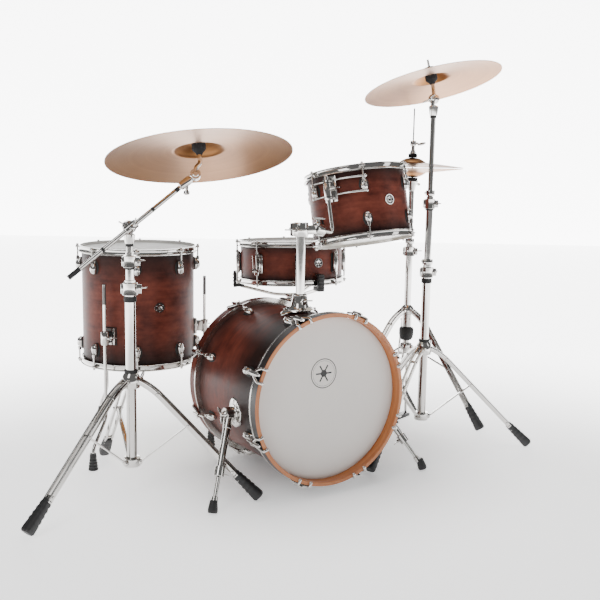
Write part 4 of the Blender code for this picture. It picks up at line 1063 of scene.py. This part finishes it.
# ---------------------------------------------------------------- boom
BOOM_TURN, BOOM_RISE = math.radians(-7.0), math.radians(38.1)
BOOM_OFFSET, ARM_END = -0.019, 0.211
BOOM_AT, BOOM_JOINT_Z, BOOM_PIVOT_Z = (-0.490, 0.2625), 0.680, 0.749
RIDE_NECK, RIDE_RISE, RIDE_RADIUS, RIDE_HEIGHT = 0.016, 0.046, 0.254, 0.050
RIDE_NORMAL = (0.038, 0.283, 0.958)


def boom_stand():
    stand = stand_base("boom_stand", BOOM_AT, math.radians(203.8), LOWER_TOP, LOWER_TUBE,
                       MIDDLE_TUBE, math.radians(-25))
    metal, dark = tube_section(0.160, 0.074, MIDDLE_TUBE, UPPER_TUBE, math.radians(-20))
    at = stand @ place((0, 0, LOWER_TOP))
    tube_pieces("boom_middle", "boom_middle_tube", metal, dark, at)
    metal, dark = tube_section(0.120, 0.042, UPPER_TUBE)
    at = stand @ place((0, 0, BOOM_JOINT_Z))
    pivot = Vector((0, 0, BOOM_PIVOT_Z - BOOM_JOINT_Z))
    knuckle(metal, dark, pivot, BOOM_TURN + math.pi / 2, 1, 0.0175, 0.046)
    tube_pieces("boom_top", "boom_top_tube", metal, dark, at)

    tilt = stand @ place((0, 0, BOOM_PIVOT_Z), (0.0, math.pi / 2 - BOOM_RISE, BOOM_TURN))
    head = Shape()
    head.rod((0, -0.010, 0), (0, -GAP, 0), 0.0175, sides=40)
    head.rod((0, BOOM_OFFSET + 0.004, 0), (0, -0.008, 0), 0.0130)
    head.pipe((0, BOOM_OFFSET, -0.018), (0, BOOM_OFFSET, 0.018), 0.0118, 0.0068)
    head.rod((0, BOOM_OFFSET - 0.010, 0), (0, BOOM_OFFSET - 0.020, 0), 0.0075, 0.0060)
    wing(head, place((0, BOOM_OFFSET - 0.016, 0), (math.pi / 2, 0.9, 0)), 0.024, 0.35)
    make("boom_tilter_look", "boom_tilter", CHROME, head, tilt, ["boom_tilter"])

    wanted = tilt.to_3x3().inverted() @ Vector(RIDE_NORMAL).normalized()
    roll, tip = math.atan2(-wanted.y, -wanted.x), -math.acos(wanted.z)
    knuckle_z = ARM_END + 0.014
    arm_at = tilt @ place((0, BOOM_OFFSET, 0), (0, 0, roll))
    arm, rings = Shape(), Shape()
    arm.rod((0, 0, -0.210), (0, 0, ARM_END - 0.006), 0.0065, sides=36)
    arm.turned([(0.0065, ARM_END - 0.040), (0.0100, ARM_END - 0.038), (0.0116, ARM_END - 0.030),
                (0.0116, ARM_END - 0.008), (0.0098, ARM_END - 0.003), (0, ARM_END - 0.003)],
               None, 40)
    arm.rod((0, GAP, knuckle_z), (0, 0.011, knuckle_z), 0.0145, sides=40)
    arm.rod((0, 0.0058, ARM_END - 0.010), (0, 0.0058, knuckle_z - 0.004), 0.0062)
    arm.rod((0, 0.010, knuckle_z), (0, 0.016, knuckle_z), 0.0080, 0.0068)
    screw = Vector((0.020, 0.0, -0.020)).normalized()
    base = Vector((0.004, 0, ARM_END - 0.018))
    arm.rod(base, base + screw * 0.026, 0.0040)
    arm.turned([(0, 0), (0.0055, 0), (0.0085, 0.003), (0.0085, 0.009), (0.0055, 0.011),
                (0, 0.0115)], along(base + screw * 0.020, base + screw * 0.04), 24)
    for z, wide in ((-0.095, 0.004), (0.075, 0.004), (0.160, 0.006), (0.178, 0.003)):
        rings.turned([(0.0066, z - wide), (0.0068, z - wide + 0.0004),
                      (0.0068, z + wide - 0.0004), (0.0066, z + wide)], None, 36)
    rings.turned([(0, -0.2102), (0.0060, -0.2102), (0.0068, -0.2095), (0.0068, -0.173),
                  (0.0066, -0.1725)], None, 36)
    make("boom_arm_look", "boom_arm", CHROME, arm, arm_at, ["boom_arm"])
    make("boom_arm_rings", "boom_arm", DARK, rings, arm_at)
    seat = arm_at @ place((0, 0, knuckle_z), (0, tip, 0)) @ about_z(-math.pi / 2)
    tilter("ride_tilter", "ride_tilter", seat, 0.0, RIDE_NECK,
           RIDE_RISE + RIDE_HEIGHT - FELT_DEPTH, 0.118, 0.016)
    cymbal("ride_cymbal", "ride_cymbal", seat @ place((0, RIDE_NECK, RIDE_RISE)), RIDE_RADIUS,
           RIDE_HEIGHT)


# ---------------------------------------------------------------- hi-hat
HAT_Z, HAT_OPENING, HAT_HEIGHT, HAT_RADIUS = 0.916, 0.0045, 0.032, 0.178
HIHAT_AT, HIHAT_TOP, HIHAT_TUBE, HIHAT_UPPER = (0.644, 0.494, 0.0), 0.648, 0.0125, 0.0095
FOOTBOARD_TURN, HIHAT_WING = math.radians(108.0), math.radians(-40)


def hihat():
    stand = KIT @ place(HIHAT_AT)
    metal, dark, feet = Shape(), Shape(), Shape()
    metal.pipe((0, 0, 0.250), (0, 0, HIHAT_TOP), HIHAT_TUBE, 0.0098)
    metal.turned([(HIHAT_TUBE, 0.345), (0.0165, 0.347), (0.0175, 0.350), (0.0175, 0.394),
                  (HIHAT_TUBE, 0.396)], None, 40)
    dark.turned([(0.0126, 0.298), (0.0185, 0.300), (0.0240, 0.308), (0.0262, 0.322),
                 (0.0262, 0.338), (0.0235, 0.344), (0.0126, 0.346)], None, 40)
    metal.turned([(HIHAT_TUBE, 0.394), (0.0225, 0.396), (0.0235, 0.400), (0.0235, 0.414),
                  (0.0215, 0.420), (HIHAT_TUBE, 0.428)], None, 40)
    metal.turned([(HIHAT_TUBE, 0.262), (0.0200, 0.264), (0.0215, 0.268), (0.0215, 0.284),
                  (0.0200, 0.288), (HIHAT_TUBE, 0.290)], None, 40)
    clamp(metal, dark, 0.622, HIHAT_TUBE, HIHAT_WING)
    tripod(metal, dark, feet, 0.300, math.radians(-62.0), 0.408, (0.060, 0.380), 0.45, 0.275,
           HIHAT_TUBE)
    turn = about_z(FOOTBOARD_TURN)
    for side in (-1, 1):
        metal.rod((0.0, side * 0.008, 0.268), (0.020, side * 0.046, 0.010), 0.0050, at=turn)
    plate = Shape()
    plate.block((0.152, 0, 0.004), (0.296, 0.060, 0.008), turn, 0.002)
    plate.block((0.020, 0, 0.006), (0.032, 0.104, 0.012), turn, 0.003)
    plate.block((0.294, 0, 0.012), (0.022, 0.062, 0.024), turn, 0.003)
    make("hihat_base_look", "kit", CHROME, metal, stand, ["hihat_stand_base"])
    make("hihat_base_dark", "kit", DARK, dark, stand)
    make("hihat_feet", "kit", RUBBER, feet, stand)
    make("hihat_plate", "kit", BLACK, plate, stand)
    board, ribs = Shape(), Shape()
    heel, toe = turn @ Vector((0.275, 0.0, 0.020)), turn @ Vector((0.030, 0.0, 0.165))
    way = (toe - heel).normalized()
    level = (turn @ Y_WAY).normalized()
    up = level.cross(way)
    up = up if up.z > 0 else -up
    board.loft([section(heel.lerp(toe, t), level, up, wide, 0.0030, 6.0, 24)
                for t, wide in ((0, 0.031), (0.02, 0.034), (0.50, 0.036), (0.90, 0.034),
                                (0.97, 0.026), (1.0, 0.018))])
    board.rod(heel - level * 0.028, heel + level * 0.028, 0.0050)
    for k in range(12):
        at = heel.lerp(toe, 0.14 + 0.065 * k) + up * 0.0032
        ribs.loft([section(at + level * s * 0.027, way, up, 0.0028, 0.0007, 3.0, 12)
                   for s in (-1, 1)])
    make("hihat_footboard_look", "hihat_footboard", BLACK, board, stand, ["hihat_footboard"])
    make("hihat_footboard_ribs", "hihat_footboard", CHROME, ribs, stand)

    metal, felt = Shape(), Shape()
    seat = HAT_Z - HAT_HEIGHT
    metal.pipe((0, 0, 0.468), (0, 0, seat - 0.020), HIHAT_UPPER, 0.0038)
    metal.turned([(HIHAT_UPPER, seat - 0.048), (0.0125, seat - 0.044), (0.0150, seat - 0.030),
                  (0.0205, seat - 0.020), (0.0215, seat - 0.016), (0.0215, seat - 0.012),
                  (0.0050, seat - 0.012)], None, 48)
    memory_lock("hihat_upper", "kit", stand @ place((0, 0, HIHAT_TOP)), HIHAT_UPPER, HIHAT_WING)
    metal.rod((0.012, 0, seat - 0.020), (0.030, 0, seat - 0.024), 0.0036)
    metal.ball((0.032, 0, seat - 0.0245), (0.0058, 0.0058, 0.0050), None, 16, 10)
    felt.turned([(0.0050, seat - 0.0118), (0.0200, seat - 0.0118), (0.0200, seat - 0.0006),
                 (0.0050, seat - 0.0006)], None, 40, closed=True)
    make("hihat_upper_look", "hihat_upper_tube", CHROME, metal, stand, ["hihat_upper_tube"])
    make("hihat_upper_felt", "hihat_upper_tube", FELT, felt, stand)
    cymbal("lower_hat", "lower_hat", stand @ place((0, 0, HAT_Z)), HAT_RADIUS, HAT_HEIGHT, -1)
    rod = Shape().rod((0, 0, 0.280), (0, 0, 1.123), 0.0030, 0.0026, 20)
    make("hihat_pull_look", "hihat_pull_rod", CHROME, rod, stand, ["hihat_pull_rod"])
    top = HAT_Z + HAT_OPENING + HAT_HEIGHT
    cymbal("upper_hat", "upper_hat", stand @ place((0, 0, HAT_Z + HAT_OPENING)), HAT_RADIUS,
           HAT_HEIGHT)
    metal, felt = Shape(), Shape()
    felt.turned([(0.0062, top + 0.0004), (0.0150, top + 0.0004), (0.0158, top + 0.002),
                 (0.0158, top + 0.0125), (0.0145, top + 0.014), (0.0062, top + 0.014)],
                None, 40, closed=True)
    metal.pipe((0, 0, top - 0.014), (0, 0, top + 0.052), 0.0058, 0.0036)
    metal.turned([(0.0058, top + 0.0142), (0.0115, top + 0.0145), (0.0115, top + 0.018),
                  (0.0085, top + 0.020), (0.0085, top + 0.026), (0.0058, top + 0.027)], None, 32)
    metal.turned([(0.0038, top + 0.040), (0.0095, top + 0.040), (0.0105, top + 0.043),
                  (0.0105, top + 0.056), (0.0095, top + 0.059), (0.0038, top + 0.059)], None, 32,
                 closed=True)
    bolt = about_z(math.radians(-25)) @ place((0.010, 0, top + 0.050), (0, math.pi / 2, 0))
    metal.rod((0, 0, -0.003), (0, 0, 0.008), 0.0040, at=bolt)
    metal.loft([section((0.004 - 0.006 * t, 0, 0.006 + 0.028 * t), X_WAY,
                        Y_WAY, 0.0030 + 0.0022 * math.sin(math.pi * t),
                        0.0022 - 0.0006 * t, 2.2, 16) for t in [k / 9 for k in range(10)]], bolt)
    make("hihat_clutch_look", "upper_hat", CHROME, metal, stand, ["hihat_clutch"])
    make("hihat_clutch_felt", "upper_hat", FELT, felt, stand)


# ---------------------------------------------------------------- snare
SNARE_AT, SNARE_TOP, SNARE_PIVOT_Z, SNARE_HOOP_Z = (0.257, 0.664), 0.330, 0.440, 0.512
SNARE_TUBE, SNARE_UPPER, SNARE_DEPTH = 0.0125, 0.0095, 0.128
SNARE_WING, SNARE_LEAN = math.radians(200), math.radians(-2.5)


def snare():
    stand = stand_base("snare_stand", SNARE_AT, math.radians(270.0), SNARE_TOP, SNARE_TUBE,
                       SNARE_UPPER, SNARE_WING, 0.205, 0.215, 0.075, (0.045, 0.205), 0.40)
    pivot = Vector((0, 0, SNARE_PIVOT_Z - SNARE_TOP))
    metal, dark = tube_section(0.120, 0.092, SNARE_UPPER)
    knuckle(metal, dark, pivot, 0.0, -1, 0.0160, 0.050)
    at = stand @ place((0, 0, SNARE_TOP))
    memory_lock("snare_tube", "kit", at, SNARE_UPPER, SNARE_WING)
    tube_pieces("snare_tube", "snare_stand_tube", metal, dark, at)
    tilt = stand @ place((0, 0, SNARE_PIVOT_Z), (SNARE_LEAN, 0, 0))
    rest = SNARE_HOOP_Z - SNARE_PIVOT_Z - 0.0006
    metal, grip = Shape(), Shape()
    metal.rod((GAP, 0, 0), (0.011, 0, 0), 0.0160, sides=40)
    metal.rod((0.0056, 0, 0), (0.0056, 0, 0.024), 0.0055)
    metal.turned([(0, 0.016), (0.0200, 0.016), (0.0225, 0.019), (0.0225, 0.030),
                  (0.0205, 0.033), (0, 0.034)], None, 40)
    hoop = FOURTEEN_INCH + HOOP_FLANGE
    for degrees in (-91.0, 29.0, 149.0):
        a = math.radians(degrees)
        across = Vector((-math.sin(a), math.cos(a), 0))
        for side in (-1, 1):
            shift = across * side * 0.0062
            metal.bent([p + shift for p in curved(
                [ring_at(a, 0.014, 0.026), ring_at(a, 0.060, 0.028),
                 ring_at(a, hoop - 0.010, rest - 0.013)], 0.02)],
                flat=(0.0022, 0.0048), sides=16)
        metal.rod(ring_at(a, 0.080, 0.034) - across * 0.010,
                  ring_at(a, 0.080, 0.034) + across * 0.010, 0.0036, sides=14)
        turn = about_z(a)
        grip.block((hoop - 0.004, 0, rest - 0.0090), (0.036, 0.024, 0.0150), turn, 0.003)
        grip.block((hoop + 0.0095, 0, rest + 0.011), (0.0130, 0.024, 0.058), turn, 0.003)
        grip.block((hoop + 0.0020, 0, rest + 0.037), (0.0180, 0.022, 0.0060), turn, 0.002)
        for z in (-0.008, 0.004, 0.016, 0.028):
            grip.block((hoop + 0.0165, 0, rest + z), (0.0030, 0.020, 0.0046), turn, 0.0010)
    make("snare_basket_look", "snare_drum", CHROME, metal, tilt, ["snare_basket"])
    make("snare_basket_grips", "snare_drum", RUBBER, grip, tilt)
    drum = tilt @ place((0, 0, SNARE_HOOP_Z - SNARE_PIVOT_Z + HOOP_RISE))
    metal_drum("snare", "snare_drum", drum, FOURTEEN_INCH, SNARE_DEPTH, spokes(8, -67.5), None,
               None)
    badge("snare_badge", "snare_drum",
          drum @ about_z(math.radians(-90.0)) @ place((FOURTEEN_INCH, 0, 0.066)), 0.0165)
    side = drum @ about_z(math.radians(203.0))
    metal = Shape()
    face = FOURTEEN_INCH + 0.0006
    metal.block((face + 0.004, 0, 0.062), (0.008, 0.032, 0.062), side, 0.003)
    metal.block((face + 0.010, 0, 0.066), (0.012, 0.024, 0.048), side, 0.003)
    metal.block((face + 0.014, 0, 0.036), (0.012, 0.018, 0.022), side, 0.002)
    metal.rod((face + 0.012, 0, 0.088), (face + 0.012, 0, 0.100), 0.0075, 0.0065, at=side)
    make("snare_strainer_look", "snare_drum", CHROME, metal, None, ["snare_strainer"])
    lever = side @ place((face + 0.026, 0, 0.042))
    metal = Shape()
    metal.rod((0, -0.010, 0), (0, 0.010, 0), 0.0055)
    metal.bent(curved([(0, 0, 0), (0.001, 0, 0.020), (0.004, 0, 0.050)], 0.008),
               flat=(0.0080, 0.0018), sides=16)
    make("strainer_lever_look", "strainer_lever", CHROME, metal, lever, ["strainer_lever"])
    wires = Shape()
    for k in range(20):
        y = -0.0195 + 0.039 * k / 19
        wires.rod((-0.146, y, -0.0033), (0.146, y, -0.0033), 0.0007, sides=8)
    for x in (-1, 1):
        wires.block((x * 0.152, 0, -0.0033), (0.014, 0.042, 0.0016), None, 0.0004)
    make("snare_wires_look", "snare_wires", WIRE, wires, drum, ["snare_wires"])


# ---------------------------------------------------------------- studio and camera
YAW, PITCH, ROLL, LENS = 0.5485, 0.1537, 0.0182, 52.01
CAMERA_AT = (-1.3011, -2.4465, 0.9178)


def area(name, at, target, size, power, colour=(1.0, 1.0, 1.0)):
    light = bpy.data.lights.new(name, "AREA")
    light.shape = "RECTANGLE"
    light.size, light.size_y = size
    light.energy = power
    light.color = colour
    made = bpy.data.objects.new(name, light)
    bpy.context.scene.collection.objects.link(made)
    way = Vector(target) - Vector(at)
    made.matrix_world = Matrix.LocRotScale(Vector(at), way.to_track_quat("-Z", "Y"), None)


def panel(name, corners, colour, glow=0.0):
    mesh = bpy.data.meshes.new(name)
    mesh.from_pydata(corners, [], [tuple(range(len(corners)))])
    made = bpy.data.objects.new(name, mesh)
    bpy.context.scene.collection.objects.link(made)
    finish = shader(name, colour, 0.8)
    if glow:
        node = finish.node_tree.nodes["Principled BSDF"]
        node.inputs["Emission Color"].default_value = (*colour, 1.0)
        node.inputs["Emission Strength"].default_value = glow
    mesh.materials.append(finish)
    return made


def studio():
    far, glow = 30.0, 6.0
    floor = panel("floor", [(-far, -far, 0), (far, -far, 0), (far, far, 0), (-far, far, 0)],
                  (0.80, 0.80, 0.80))
    n = Nodes(floor.data.materials[0])
    near = n.distance((-0.45, -1.1, 0.0))
    behind = n.distance((1.8, 2.9, 0.0))
    # Painted shadow: the floor's glow is dimmed near the kit and most of all under it, a soft
    # painted shadow round and under the kit.
    under = n.distance((0.10, -0.18, 0.0))
    glow_with_painted_shadow = n.math("MULTIPLY", n.spread(near, 1.25, 3.1, 0.26, 1.0, smooth=True),
                    n.spread(under, 0.10, 0.80, 0.10, 1.0, smooth=True))
    glowing = n.math("MULTIPLY", glow_with_painted_shadow, n.spread(behind, 6.8, 9.0, 1.0, 0.06, smooth=True))
    n.out.inputs["Emission Color"].default_value = (1.0, 1.0, 1.0, 1.0)
    n.set("Emission Strength", n.math("MULTIPLY", glowing, glow))
    n.set("Base Color", n.mix(n.spread(near, 1.8, 3.4, smooth=True),
                              (0.80, 0.80, 0.80, 1), (0.25, 0.25, 0.25, 1)))
    along_back = Vector((math.cos(YAW), -math.sin(YAW), 0.0)) * 4.6
    back = Vector((math.sin(YAW), math.cos(YAW), 0.0)) * 8.0
    lift = Vector((0, 0, 3.6))
    panel("backdrop", [back - along_back, back + along_back, back + along_back + lift,
                       back - along_back + lift], (1.0, 1.0, 1.0), glow)
    world = bpy.data.worlds.new("studio")
    bpy.context.scene.world = world
    world.use_nodes = True
    world.node_tree.nodes["Background"].inputs[0].default_value = (1.0, 1.0, 1.0, 1.0)
    world.node_tree.nodes["Background"].inputs[1].default_value = 0.20
    area("key", (-2.9, -1.6, 2.9), (0, 0, 0.5), (1.4, 2.0), 40.0)
    area("top", (0.3, 0.0, 3.4), (0, 0, 0.4), (2.2, 2.2), 42.0)
    area("fill", (2.6, -2.6, 1.9), (0.1, 0, 0.5), (0.9, 2.0), 15.0)


def camera():
    forward = Vector((math.sin(YAW) * math.cos(PITCH), math.cos(YAW) * math.cos(PITCH),
                      -math.sin(PITCH)))
    right = Vector((math.cos(YAW), -math.sin(YAW), 0.0))
    up = right.cross(forward)
    c, s = math.cos(ROLL), math.sin(ROLL)
    x, y = right * c + up * s, up * c - right * s
    data = bpy.data.cameras.new("camera")
    data.lens = LENS
    data.sensor_width = 36.0
    made = bpy.data.objects.new("camera", data)
    bpy.context.scene.collection.objects.link(made)
    made.matrix_world = Matrix.Translation(CAMERA_AT) @ Matrix(
        (x, y, -forward)).transposed().to_4x4()
    bpy.context.scene.camera = made


bass_drum()
tom_mount()
rack_tom()
for word, side in (("left", -1), ("right", 1)):
    spur(word, side)
pedal()
floor_tom()
crash_stand()
boom_stand()
hihat()
snare()
studio()
camera()

bpy.context.view_layer.update()
